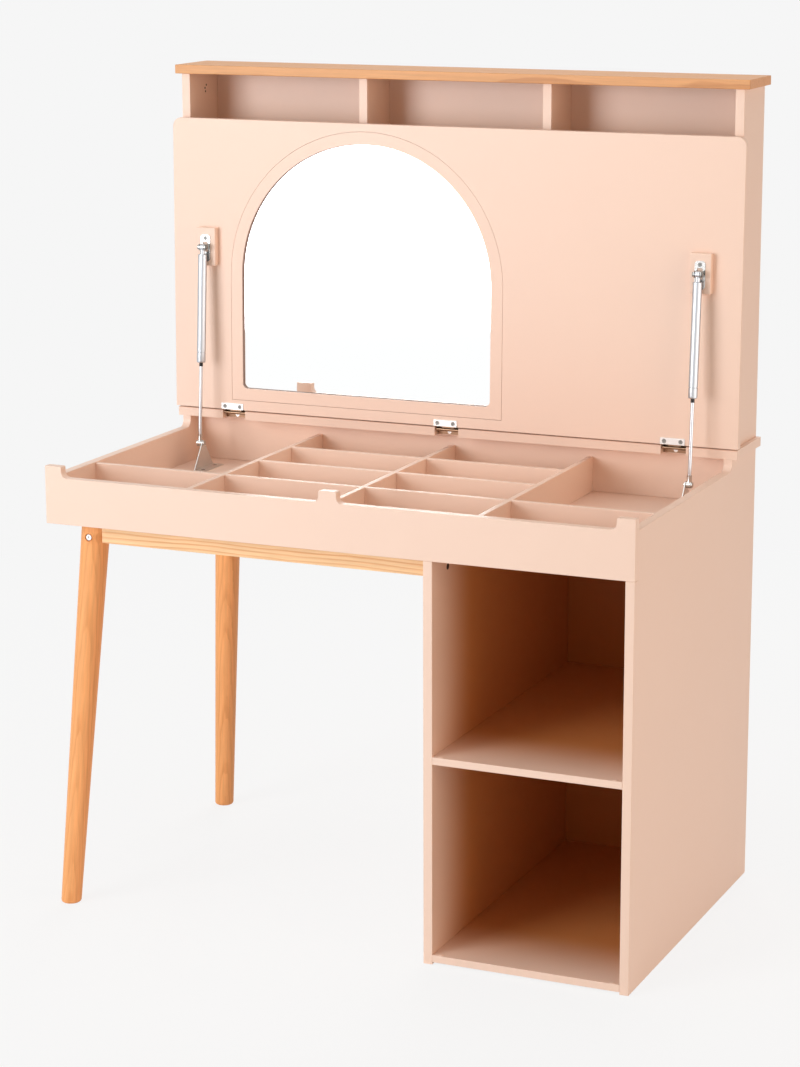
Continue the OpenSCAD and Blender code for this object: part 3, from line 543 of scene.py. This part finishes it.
# %% [markdown]
# ## From a shape to a piece
# A shape is modelled as a bmesh, and then becomes an object that rides on one of the table's
# bodies. Its faces are shaded smooth, apart from edges that are clearly sharp. A CAD node that
# stays as it is only gets a new finish.

# %% Piece helpers
SMOOTH_UP_TO = 38.0       # degrees at an edge


def as_object(shape, name, material):
    """Turns a finished shape into an object in the scene."""
    mesh = bpy.data.meshes.new(name)
    shape.to_mesh(mesh)
    shape.free()
    mesh.materials.append(material)
    thing = bpy.data.objects.new(name, mesh)
    bpy.context.scene.collection.objects.link(thing)
    return thing


def as_piece(shape, name, material, body):
    """Turns a finished shape into a smooth piece that rides on a body."""
    piece = as_object(shape, name, material)
    piece.data.shade_smooth()
    piece.data.set_sharp_from_angle(angle=math.radians(SMOOTH_UP_TO))
    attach(piece, body)
    return piece


def dress(node, material):
    """Gives a CAD node that stays as it is a finish of its own."""
    data = cad_nodes[node].data
    data.materials.clear()
    data.materials.append(material)


print("edges are smooth up to", SMOOTH_UP_TO, "degrees")

# %% [markdown]
# ## Softened edges
# Every board of real furniture has slightly rounded edges, and these catch a thin bright line of
# light. A CAD solid has knife edges, so each visible piece is made from a merged copy of its CAD
# node: loose triangles are joined, flat faces are cleaned, and the sharp edges are bevelled. The
# copy then stands for the node, at exactly the same place. Weighted normals keep the big faces
# looking flat beside their soft edges.

# %% Softening helper
WELD = 0.002 * MM         # loose corners that are closer than this are one
FLAT_UP_TO = 0.8          # degrees between triangles of one flat face


def soften(node, radius, material, steps=3, sharp_from=50.0, other=None, radius_there=0.0,
           reshape=None):
    """A copy of a CAD node with rounded edges, which stands for the node.

    Edges whose middle passes the test `other` get the radius given for them, and `reshape` may
    change the copy before its edges are rounded.
    """
    cad = cad_nodes[node]
    shape = bmesh.new()
    shape.from_mesh(cad.data)
    bmesh.ops.remove_doubles(shape, verts=shape.verts, dist=WELD)
    bmesh.ops.dissolve_limit(shape, angle_limit=math.radians(FLAT_UP_TO), verts=shape.verts,
                             edges=shape.edges, use_dissolve_boundaries=False)
    if reshape:
        reshape(shape)
    sharp = [edge for edge in shape.edges
             if edge.is_manifold and edge.calc_face_angle() > math.radians(sharp_from)]
    picked = [edge for edge in sharp
              if other and other((edge.verts[0].co + edge.verts[1].co) / 2)]
    usual = [edge for edge in sharp if edge not in picked]
    for edges, offset in ((usual, radius), (picked, radius_there)):
        bmesh.ops.bevel(shape, geom=[edge for edge in edges if edge.is_valid], offset=offset,
                        offset_type="OFFSET", segments=steps, profile=0.5, affect="EDGES",
                        material=-1, clamp_overlap=True)
    piece = as_piece(shape, node + "_soft", material, cad["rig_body"])
    piece.modifiers.new("flat_faces", "WEIGHTED_NORMAL").keep_sharp = True
    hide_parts(node)
    return piece


print("softening welds corners within", WELD, "m")

# %% [markdown]
# ## The tray box
# The tray is made of lacquered boards. Its apron has three tabs that the closed lid lies over,
# and the low rims between them leave room for fingers. The boards are eased by a millimetre, and
# the thin dividers by a little less. The strip's upper edge stays almost sharp, because the open
# lid stands close against it.

# %% Tray box
BOARD_EDGE = 1.0 * MM
THIN_EDGE = 0.8 * MM
CLOSE_EDGE = 0.3 * MM
hinge_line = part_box("rear_strip")[1][2] - 2 * MM


def near_hinge_line(point):
    """True for a point of the strip's upper edge, which the open lid stands against."""
    return point.z > hinge_line


for node in ("front_apron", "tray_side_left", "tray_back", "desk_back", "tray_floor"):
    soften(node, BOARD_EDGE, lacquer)
soften("cabinet_side_right", BOARD_EDGE, cabinet_lacquer_with_painted_shade)
soften("rear_strip", BOARD_EDGE, lacquer, other=near_hinge_line,
       radius_there=CLOSE_EDGE)
dividers = sorted(name for name in cad_nodes if "divider" in name and "hutch" not in name)
for node in dividers:
    soften(node, THIN_EDGE, lacquer)
print("tray box: 7 boards and", len(dividers), "nodes of dividers")

# %% [markdown]
# ## The side cabinet and the hutch
# Both are made of boards of the same kind. The fronts of the cabinet's shelves lie flush with the
# panels, so their small edge radii show as fine lines where two boards meet.

# %% Cabinet and hutch
COVER_EDGE = 0.25 * MM
for node in ("cabinet_side_left", "middle_shelf", "bottom_shelf"):
    soften(node, THIN_EDGE, cabinet_lacquer_with_painted_shade)
soften("cabinet_back", THIN_EDGE, back_panel_painted_shade)
hutch_boards = ("hutch_side_left", "hutch_side_right", "hutch_back", "hutch_shelf",
                "hutch_divider_left", "hutch_divider_right")
for node in hutch_boards:
    soften(node, THIN_EDGE, lacquer)
soften("shelf_fixing_covers", COVER_EDGE, cabinet_lacquer_with_painted_shade)
print("hutch:", len(hutch_boards), "boards, and the cabinet's softened as well")

# %% [markdown]
# ## Grain coordinates
# A wooden piece carries its grain with it, as one vector per vertex. In these coordinates its
# length lies along Z, and its places are measured from the pith of the tree that it was cut
# from. Each piece starts at another height of that tree, so no two show the same wood.

# %% Grain helper
def lay_grain(piece, along, pith, start):
    """Stores coordinates whose Z runs along the piece, measured from its pith in metres."""
    turn = Vector(along).normalized().rotation_difference(Vector((0, 0, 1))).to_matrix()
    low = Vector(piece.bound_box[0])
    high = Vector(piece.bound_box[6])
    origin = turn @ ((low + high) / 2) + Vector((*pith, -start))
    values = [part for vert in piece.data.vertices for part in (turn @ vert.co - origin)]
    store = piece.data.attributes.new("grain", "FLOAT_VECTOR", "POINT")
    store.data.foreach_set("vector", values)


print("grain helper:", lay_grain.__name__)

# %% [markdown]
# ## Legs
# The legs keep the drilled pockets of their bolts, and the edge round each foot is well rounded.
# A leg leans from its foot towards the middle of the table. Its grain runs along it, tilted by a
# few degrees, so the rings leave the front as long pointed arches.

# %% Legs
FOOT_SPLAY = 43.7 * MM      # how far a foot stands out from under the leg's top, both ways
LEG_HEIGHT = 650 * MM
LEAN = FOOT_SPLAY / LEG_HEIGHT
TILT_X = 0.014              # how far the grain leans out of the leg, per length of leg
TILT_Y = -0.034
LEG_EDGE = 1.2 * MM
FOOT_EDGE = 4.5 * MM
FOOT_BAND = 4 * MM          # an edge lower than this belongs to the foot


def near_floor(point):
    """True for a point of the edge round a foot."""
    return point.z < FOOT_BAND


# Node, lean along Y, the pith's place beside the leg's middle, and its start, in metres
LEGS = (("leg_front_left", LEAN, (-0.024, 0.055), 0.0),
        ("leg_back_left", -LEAN, (-0.03, 0.05), 2.0))
for node, lean_y, pith, start in LEGS:
    leg = soften(node, LEG_EDGE, leg_pine, steps=4, sharp_from=40.0,
                 other=near_floor, radius_there=FOOT_EDGE)
    lay_grain(leg, (LEAN + TILT_X, lean_y + TILT_Y, 1.0), pith, start)
print("legs lean", round(math.degrees(math.atan(LEAN)), 1), "degrees each way")

# %% [markdown]
# ## Rails and top board
# The rails and the top board have their grain straight along their length. The dowels stay as
# the CAD model has them, because they sit in the wood.

# %% Rails and top board
ALONG_X = (1, 0, 0)
ALONG_Y = (0, 1, 0)
TOP_EDGE = 1.2 * MM
TOP_PITH = (0.03, 0.11)
TOP_START = 10.0
RAILS = (("front_rail", ALONG_X, (0.06, -0.05), 4.0),
         ("rear_rail", ALONG_X, (-0.07, 0.05), 6.0),
         ("side_rail", ALONG_Y, (0.06, 0.06), 8.0))
for node, along, pith, start in RAILS:
    rail = soften(node, BOARD_EDGE, rail_pine)
    lay_grain(rail, along, pith, start)
top_board = soften("top_board", TOP_EDGE, top_wood)
lay_grain(top_board, ALONG_X, TOP_PITH, TOP_START)
for node in ("desk_dowels", "hutch_dowels"):
    dress(node, dowel_wood)
print("wooden pieces:", len(LEGS), "legs,", len(RAILS), "rails, top board")

# %% [markdown]
# ## The lid and its mirror
# The lid stands open. Its underside has a pocket for the arched frame, which lies flush with a
# fine groove round it. The frame grows by half a millimetre here, because the groove looks very
# thin in the photograph. The mirror lies a few millimetres deeper in the frame. The narrow walls
# between the frame's face and the mirror are in their own shade, so they get a greyer lacquer of
# painted shade that draws the dark line round the mirror.

# %% Frame helpers
FRAME_GROWTH = 0.5 * MM
LEVEL_WALL = 0.3            # a wall's normal has less than this along Y


def is_wall(normal):
    """True for a side wall of an upright board, which faces neither forwards nor backwards."""
    return abs(normal.y) < LEVEL_WALL


def grow_outline(shape):
    """Moves the outer side walls of an upright board outwards, away from its middle."""
    places = [vert.co for vert in shape.verts]
    middle = sum(places, Vector()) / len(places)
    pushes = {}
    for face in shape.faces:
        outward = (face.calc_center_median() - middle).dot(face.normal) > 0
        if outward and is_wall(face.normal):
            for vert in face.verts:
                pushes[vert] = pushes.get(vert, Vector()) + face.normal
    for vert, push in pushes.items():
        vert.co += push.normalized() * FRAME_GROWTH


def paint_reveal_shade(piece, material, centre):
    """Gives the walls that look towards the centre of an opening a material of their own, with
    painted shade.
    """
    piece.data.materials.append(material)
    for face in piece.data.polygons:
        inward = (centre - face.center).dot(face.normal) > 0
        if inward and is_wall(face.normal):
            face.material_index = 1


print("frame grows by", FRAME_GROWTH, "m")

# %% [markdown]
# Where the lid lies close against its neighbours its edges stay sharp, so that the fine joints
# keep their width. Two blocks on the lid carry the strut brackets.

# %% Lid and mirror
SHARP_EDGE = 0.03 * MM
BLOCK_EDGE = 1.5 * MM
POCKET_MARGIN = 2 * MM
LID_EDGE_BAND = 5 * MM
frame_low, frame_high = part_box("mirror_frame")
mirror_middle = sum(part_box("mirror_glass"), Vector()) / 2


def in_close_joint(point):
    """True for a point of the lid's pocket, close round the frame, or of its hinged edge."""
    return point.z < hinge_line + LID_EDGE_BAND or (
        frame_low[0] - POCKET_MARGIN < point.x < frame_high[0] + POCKET_MARGIN
        and frame_low[2] - POCKET_MARGIN < point.z < frame_high[2] + POCKET_MARGIN)


soften("lid_panel", BOARD_EDGE, lacquer, other=in_close_joint,
       radius_there=SHARP_EDGE)
frame_piece = soften("mirror_frame", SHARP_EDGE, lacquer, reshape=grow_outline)
paint_reveal_shade(frame_piece, reveal_painted_shade, mirror_middle)
soften("mirror_glass", THIN_EDGE, mirror)
for node in ("strut_pad_left", "strut_pad_right"):
    soften(node, BLOCK_EDGE, lacquer)
print("lid, frame, mirror and two blocks")

# %% [markdown]
# ## Hinges, brackets, bolts and screws
# The metal parts are small, so their edges get only a few tenths of a millimetre. The upper
# leaves are bright. Below the lid's edge each hinge gets the same brown as its lower leaf, as
# painted reflection and painted shade, through the box mask from the cabinet. It starts a little
# in front of the leaves and is full at their face. The barrel nuts sit inside the wood and keep
# their plain CAD shape.

# %% Metal fittings
METAL_EDGE = 0.3 * MM
SCREW_EDGE = 0.2 * MM
BOLT_EDGE = 0.4 * MM
METAL_STEPS = 2
MASK_LEAD = 1.0 * MM
MASK_REACH = 0.5 * MM
FITTINGS = (
    ("strut_head_brackets", METAL_EDGE, nickel, "bright_nickel"),
    ("strut_foot_studs", METAL_EDGE, nickel, "bright_nickel"),
    ("hinge_lid_leaves", METAL_EDGE, satin_nickel, "bright_nickel"),
    ("strut_foot_brackets", METAL_EDGE, satin_nickel, "bright_nickel"),
    ("hinge_strip_leaves", METAL_EDGE, leaf_painted_shade, "bright_nickel"),
    ("strut_head_pins", METAL_EDGE, zinc, "bright_nickel"),
    ("hinge_lid_screws", SCREW_EDGE, zinc, "zinc_steel"),
    ("strut_head_screws", SCREW_EDGE, zinc, "zinc_steel"),
    ("strut_foot_screws", SCREW_EDGE, zinc, "zinc_steel"),
    ("hinge_pins", SCREW_EDGE, zinc, "zinc_steel"),
    ("hinge_strip_screws", BOLT_EDGE, steel, "zinc_steel"),
    ("leg_bolts", BOLT_EDGE, steel, "zinc_steel"),
)
for node, edge, finish, slot in FITTINGS:
    soften(node, edge, finish, steps=METAL_STEPS)
leaf_low, leaf_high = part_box("hinge_lid_leaves")
lid_lower_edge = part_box("lid_panel")[0][2]
# Painted reflection and shade: below the lid's lower edge the hinges take the lower leaves' brown
leaf_shade_low = (leaf_low[0], leaf_low[1] - MASK_LEAD, leaf_low[2])
leaf_shade_high = (leaf_high[0], leaf_high[1], lid_lower_edge)
paint_shade_inside(satin_nickel, leaf_shade_low, leaf_shade_high, MASK_REACH, LEAF_PAINTED_SHADE)
dress("barrel_nuts", zinc)
print(len(FITTINGS), "fittings; hinges turn brown below", round(lid_lower_edge, 4), "m")

# %% [markdown]
# ## Spun pieces
# The tube and the rod of a strut are turned parts, so they are made the way a lathe makes them:
# half of the outline is drawn and spun once round the axis. A new shape is then welded, and its
# faces are turned outwards before it becomes a piece.

# %% Spinning helpers
FINE_STEPS = 48
SMALL_STEPS = 32


def spin(shape, outline, centre, axis, steps):
    """Spins a closed outline of (radius, place along the axis) points, in millimetres."""
    side = axis.orthogonal().normalized()
    dots = [shape.verts.new(centre + (side * radius + axis * place) * MM)
            for radius, place in outline]
    lines = [shape.edges.new(pair) for pair in zip(dots, dots[1:] + dots[:1])]
    bmesh.ops.spin(shape, geom=dots + lines, cent=centre, axis=axis, dvec=(0, 0, 0),
                   angle=math.tau, steps=steps, use_merge=True)


def close_piece(shape, name, material, body):
    """Welds a new shape, turns its faces outwards and makes it a piece."""
    bmesh.ops.remove_doubles(shape, verts=shape.verts, dist=WELD)
    bmesh.ops.recalc_face_normals(shape, faces=shape.faces)
    return as_piece(shape, name, material, body)


print("steps round a tube:", FINE_STEPS, "and round a small part:", SMALL_STEPS)

# %% [markdown]
# ## The tube of a strut
# Each strut has a satin aluminium tube with rounded ends, a crimped ring near its lower end and
# an eye at its upper one. Its length comes from the CAD node, and only the radii and the small
# roundings are given here. All sizes are in millimetres, and each start is measured down from
# the upper pivot.

# %% Outlines of a tube
CORE = 0.5                  # an outline keeps this far from the axis
NECK_RADIUS = 4.0
NECK_START = 4.0
TUBE_START = 12.0
TUBE_RADIUS = 7.5
BORE_RADIUS = 5.85
BORE_DEPTH = 12.0           # the gland fills this end of the tube
RING_RADIUS = 6.7
RING_UP = 17.0              # from the tube's lower end to the crimped ring
RING_WIDTH = 1.6
RING_SLOPE = 0.3
SHOULDER = ((1.1, 0.0), (0.5, 0.2), (0.1, 0.7), (0.0, 1.4))   # inwards and along, from a corner
LIP = ((0.0, 2.4), (0.2, 1.2), (0.7, 0.4), (1.4, 0.0))
EYE_RADIUS = 5.5
EYE_HOLE = 2.6
EYE_HALF = 4.0
EYE_CHAMFER = 0.4


def tube_outline(end):
    """The tube, from its neck to its lower end."""
    ring = end - RING_UP
    shoulder = [(TUBE_RADIUS - inwards, TUBE_START + along) for inwards, along in SHOULDER]
    lip = [(TUBE_RADIUS - inwards, end - along) for inwards, along in LIP]
    return [(CORE, NECK_START), (NECK_RADIUS, NECK_START), (NECK_RADIUS, TUBE_START), *shoulder,
            (TUBE_RADIUS, ring - RING_WIDTH), (RING_RADIUS, ring - RING_WIDTH + RING_SLOPE),
            (RING_RADIUS, ring - RING_SLOPE), (TUBE_RADIUS, ring), *lip,
            (BORE_RADIUS, end), (BORE_RADIUS, end - BORE_DEPTH), (CORE, end - BORE_DEPTH)]


def eye_outline():
    """The ring that the upper pin goes through, with chamfered rims."""
    rim = EYE_RADIUS - EYE_CHAMFER
    flat = EYE_HALF - EYE_CHAMFER
    return [(rim, -EYE_HALF), (EYE_RADIUS, -flat), (EYE_RADIUS, flat), (rim, EYE_HALF),
            (EYE_HOLE, EYE_HALF), (EYE_HOLE, -EYE_HALF)]


print("a tube is", 2 * TUBE_RADIUS, "mm thick and its eye", 2 * EYE_RADIUS, "mm")

# %% [markdown]
# The thin rod keeps its hidden piston. The black gland's lip peeps out of the tube, and a short
# sleeve round the rod stands for it.

# %% Outlines of a rod
ROD_RADIUS = 3.0
PISTON_RADIUS = 5.7
PISTON_LENGTH = 8.0
SLEEVE_BORE = 3.05
SLEEVE_RADIUS = 3.25
SLEEVE_INSIDE = 1.0         # how far the sleeve reaches into the tube,
SLEEVE_OUTSIDE = 6.0        # and how far out of it,
SLEEVE_TIP = 0.6            # up to its slanted end


def rod_outline(top, foot):
    """The rod, with its piston at the top."""
    step = top + PISTON_LENGTH
    return [(CORE, top), (PISTON_RADIUS, top), (PISTON_RADIUS, step), (ROD_RADIUS, step),
            (ROD_RADIUS, foot), (CORE, foot)]


def sleeve_outline(end):
    """The sleeve, from just inside the tube to its slanted tip."""
    out = end + SLEEVE_OUTSIDE
    return [(SLEEVE_BORE, end - SLEEVE_INSIDE), (SLEEVE_RADIUS, end - SLEEVE_INSIDE),
            (SLEEVE_RADIUS, out), (SLEEVE_BORE, out + SLEEVE_TIP)]


print("a rod is", 2 * ROD_RADIUS, "mm thick and its sleeve", 2 * SLEEVE_RADIUS, "mm")

# %% [markdown]
# ## Gas struts
# The axis is not guessed. It is the line of the strut's own sliding joint, through the upper
# pivot. The sleeve rides with the tube, and the rod slides through both. Each tube and each rod
# is a body of its own, which has its node's name.

# %% Gas struts
EYE_AXIS = Vector((1, 0, 0))
joints = {joint["name"]: joint for joint in frame["joints"]}


def make_strut(side):
    """Turns one strut's tube, rod and sleeve, and measures them down from the pivot."""
    pivot = Vector(joints["strut_head_pivot_" + side]["pos_m"])
    down = -Vector(joints["strut_slide_" + side]["axis"]).normalized()
    tube_name = "strut_tube_" + side
    rod_name = "strut_rod_" + side

    def places(node):
        """How far the vertices of a node lie below the pivot, in millimetres."""
        return [(vert.co - pivot).dot(down) / MM for vert in cad_nodes[node].data.vertices]

    end = max(places(tube_name))
    top = min(places(rod_name))
    foot = max(places(rod_name))
    tube = bmesh.new()
    spin(tube, tube_outline(end), pivot, down, FINE_STEPS)
    spin(tube, eye_outline(), pivot, EYE_AXIS, SMALL_STEPS)
    tube_piece = close_piece(tube, tube_name + "_spun", silver, tube_name)
    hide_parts(tube_name)
    rod = bmesh.new()
    spin(rod, rod_outline(top, foot), pivot, down, SMALL_STEPS)
    rod_piece = close_piece(rod, rod_name + "_spun", chrome, rod_name)
    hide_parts(rod_name)
    sleeve = bmesh.new()
    spin(sleeve, sleeve_outline(end), pivot, down, SMALL_STEPS)
    close_piece(sleeve, "strut_sleeve_" + side, gland_black, tube_name)
    soften("strut_rod_end_" + side, BOLT_EDGE, nickel, steps=METAL_STEPS)
    dress("strut_gland_" + side, gland_black)
    return end, top, foot


for side in ("left", "right"):
    print(side, "strut, places along it:", [round(place, 1) for place in make_strut(side)])

# %% [markdown]
# ## Fixing holes
# Two boards show where their fittings sit: three small holes near the top of the hutch's left
# side, and a larger one near the top of the cabinet's inner panel. Each hole is painted shade: a
# thin dark disc that narrows a little outwards, half sunk into the face, and rides with its
# board.

# %% Fixing holes
DISC_DEPTH = 0.4 * MM
DISC_TAPER = 0.2 * MM
DISC_SIDES = 24
HUTCH_HOLES = ((0.2515, 1.3121), (0.2465, 1.3071), (0.2481, 1.3012))   # y and z, in metres
HUTCH_HOLE_RADIUS = 1.9 * MM
CABINET_HOLES = ((-0.238, 0.629),)
CABINET_HOLE_RADIUS = 5 * MM


# Painted shade: each hole is drawn as a dark disc on the face
def make_hole_shades(board, places, radius):
    """Dark discs of painted shade, for holes on a board's right face."""
    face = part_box(board)[1][0]
    shape = bmesh.new()
    for y, z in places:
        seat = Matrix.Translation((face, y, z)) @ Matrix.Rotation(math.pi / 2, 4, "Y")
        bmesh.ops.create_cone(shape, cap_ends=True, segments=DISC_SIDES, radius1=radius,
                              radius2=radius - DISC_TAPER, depth=DISC_DEPTH, matrix=seat)
    return close_piece(shape, board + "_holes", gland_black,
                       cad_nodes[board]["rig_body"])


hutch_hole_shades = make_hole_shades("hutch_side_left", HUTCH_HOLES, HUTCH_HOLE_RADIUS)
cabinet_hole_shade = make_hole_shades("cabinet_side_left", CABINET_HOLES, CABINET_HOLE_RADIUS)
print("holes:", hutch_hole_shades.name, "and", cabinet_hole_shade.name)

# %% [markdown]
# ## What the camera and the mirror see
# The photograph has a plain white studio. Rays from the camera find its pale grey, reflections
# find white, and all other rays meet the real floor and the room's own light. The floor and the
# world share this test.

# %% Backdrop
BACKDROP = colour("F6F6F6")
WHITE = colour("FFFFFF")


def what_eyes_meet(tree):
    """A mask for camera rays and reflections, and the colour that they find."""
    path = add(tree, "ShaderNodeLightPath")
    bounced = maths(tree, "MAXIMUM", path.outputs["Is Glossy Ray"],
                    path.outputs["Is Transmission Ray"])
    mask = maths(tree, "MAXIMUM", path.outputs["Is Camera Ray"], bounced)
    tone = add(tree, "ShaderNodeMix", data_type="RGBA")
    tone.inputs[MIX_A].default_value = BACKDROP
    tone.inputs[MIX_B].default_value = WHITE
    wire(tree, bounced, tone.inputs["Factor"])
    return mask, tone.outputs[MIX_RESULT]


print("backdrop:", [round(v, 3) for v in BACKDROP[:3]])

# %% [markdown]
# ## Studio floor
# The floor is a wide disc. Around the table it takes a little light and shadow, and further out
# it fades into the backdrop's own colour, so that no horizon shows.

# %% Floor material
FLOOR_PAINT = colour("EDEDED")
FLOOR_ROUGHNESS = 0.8
FADE = (0.7, 2.6)           # metres from the table's middle, where the fade begins and ends
GLOW_SHARE = (0.86, 1.0)    # the backdrop's share of what is seen, near and far
GLOW_STRENGTH = (1.05, 1.0)


def floor_material():
    """Pale paint that fades into the backdrop for whoever looks at it."""
    material, tree, shader = new_material("studio_floor")
    shader.inputs["Base Color"].default_value = FLOOR_PAINT
    shader.inputs["Roughness"].default_value = FLOOR_ROUGHNESS
    glow = add(tree, "ShaderNodeEmission")
    mask, tone = what_eyes_meet(tree)
    place = add(tree, "ShaderNodeTexCoord")
    reach = add(tree, "ShaderNodeVectorMath", operation="LENGTH")
    blend = add(tree, "ShaderNodeMixShader")
    wire(tree, place.outputs["Object"], reach.inputs[0])
    share = remap(tree, reach.outputs["Value"], FADE, GLOW_SHARE)
    strength = remap(tree, reach.outputs["Value"], FADE, GLOW_STRENGTH)
    wire(tree, tone, glow.inputs["Color"])
    wire(tree, strength, glow.inputs["Strength"])
    wire(tree, maths(tree, "MULTIPLY", share, mask), blend.inputs["Fac"])
    wire(tree, shader.outputs[0], blend.inputs[1])
    wire(tree, glow.outputs[0], blend.inputs[2])
    wire(tree, blend.outputs[0], tree.nodes["Material Output"].inputs["Surface"])
    return material


print("the floor fades between", FADE[0], "and", FADE[1], "m")

# %% [markdown]
# The floor is part of the studio and not of the table.

# %% Floor
FLOOR_RADIUS = 14.0
FLOOR_SIDES = 96
disc = bmesh.new()
bmesh.ops.create_circle(disc, cap_ends=True, segments=FLOOR_SIDES, radius=FLOOR_RADIUS)
floor = as_object(disc, "studio_floor", floor_material())
print("floor:", floor.name, "with a radius of", FLOOR_RADIUS, "m")

# %% [markdown]
# ## Light
# A large soft lamp stands in front on the left, higher than the table, and reaches into the tray
# and under the top board. A second one, two metres wide, stands below it at about the height of
# the top board, and fills the hutch and the tray's back. A warm one on the right fills the shaded
# side, and a faint one overhead touches the tops. One behind keeps the back from going dull. It
# is kept out of reflections, because the top board would show it as a white band.

# %% Lamps
def softbox(name, place, target, size, power, tone):
    """A square soft lamp that faces a target."""
    data = bpy.data.lights.new(name, "AREA")
    data.shape = "SQUARE"
    data.size = size
    data.energy = power
    data.color = tone[:3]
    lamp = bpy.data.objects.new(name, data)
    facing = (Vector(target) - Vector(place)).to_track_quat("-Z", "Y")
    lamp.matrix_world = Matrix.Translation(place) @ facing.to_matrix().to_4x4()
    bpy.context.scene.collection.objects.link(lamp)
    return lamp


softbox("main_softbox", place=(-2.4, -3.9, 2.4), target=(0, 0, 0.9), size=2.6, power=69.0,
        tone=colour("FEFFFA"))
softbox("low_softbox", place=(-2.25, -4.07, 1.3), target=(0, 0, 0.85), size=2.0, power=74.0,
        tone=colour("F3F3F9"))
softbox("side_softbox", place=(3.6, -1.0, 1.3), target=(0.4, 0, 0.6), size=2.4, power=41.0,
        tone=colour("FFD9B9"))
softbox("top_softbox", place=(0, -0.3, 3.4), target=(0, 0, 0.6), size=2.6, power=22.0, tone=WHITE)
back_lamp = softbox("back_softbox", place=(-0.8, 4.2, 2.6), target=(0, 0, 0.9), size=2.8,
                    power=90.0, tone=WHITE)
back_lamp.visible_glossy = False
print("lamps:", len(bpy.data.lights))

# %% [markdown]
# ## The room
# The room itself gives a little even, slightly warm light, and the camera and reflections see the
# plain backdrop in its place.

# %% World
ROOM_TONE = colour("FFF6EB")
ROOM_STRENGTH = 0.26


def light_room():
    """Even light from all round, with the backdrop in front of it for whoever looks."""
    world = bpy.data.worlds.new("studio")
    world.use_nodes = True
    tree = world.node_tree
    ambient = tree.nodes["Background"]
    ambient.inputs["Color"].default_value = ROOM_TONE
    ambient.inputs["Strength"].default_value = ROOM_STRENGTH
    seen = add(tree, "ShaderNodeBackground", Strength=1.0)
    blend = add(tree, "ShaderNodeMixShader")
    mask, tone = what_eyes_meet(tree)
    wire(tree, mask, blend.inputs["Fac"])
    wire(tree, tone, seen.inputs["Color"])
    wire(tree, ambient.outputs[0], blend.inputs[1])
    wire(tree, seen.outputs[0], blend.inputs[2])
    wire(tree, blend.outputs[0], tree.nodes["World Output"].inputs["Surface"])
    return world


bpy.context.scene.world = light_room()
print("room light:", ROOM_STRENGTH)

# %% [markdown]
# ## White card
# Polished metal shows what stands around it. A white card on the right, a little brighter than
# the room, draws the light band on the right half of each tube. Only reflections can see it, so
# it neither casts a shadow nor lights the boards.

# %% White card
CARD_PLACE = Vector((2.59, -0.23, 1.2))
CARD_SIDE = 2.4
CARD_GLOW = 1.4


def make_card():
    """A square card that faces the table's upright axis and shows only in reflections."""
    facing = (Vector((0, 0, CARD_PLACE.z)) - CARD_PLACE).to_track_quat("Z", "Y")
    seat = Matrix.Translation(CARD_PLACE) @ facing.to_matrix().to_4x4()
    shape = bmesh.new()
    bmesh.ops.create_grid(shape, x_segments=1, y_segments=1, size=CARD_SIDE / 2, matrix=seat)
    material, _, shader = new_material("white_card")
    shader.inputs["Base Color"].default_value = WHITE
    shader.inputs["Emission Color"].default_value = WHITE
    shader.inputs["Emission Strength"].default_value = CARD_GLOW
    card = as_object(shape, "white_card", material)
    card.visible_camera = False
    card.visible_diffuse = False
    card.visible_shadow = False
    card.visible_transmission = False
    card.visible_volume_scatter = False
    return card


card = make_card()
print("card:", card.name, "at", tuple(round(v, 2) for v in CARD_PLACE))
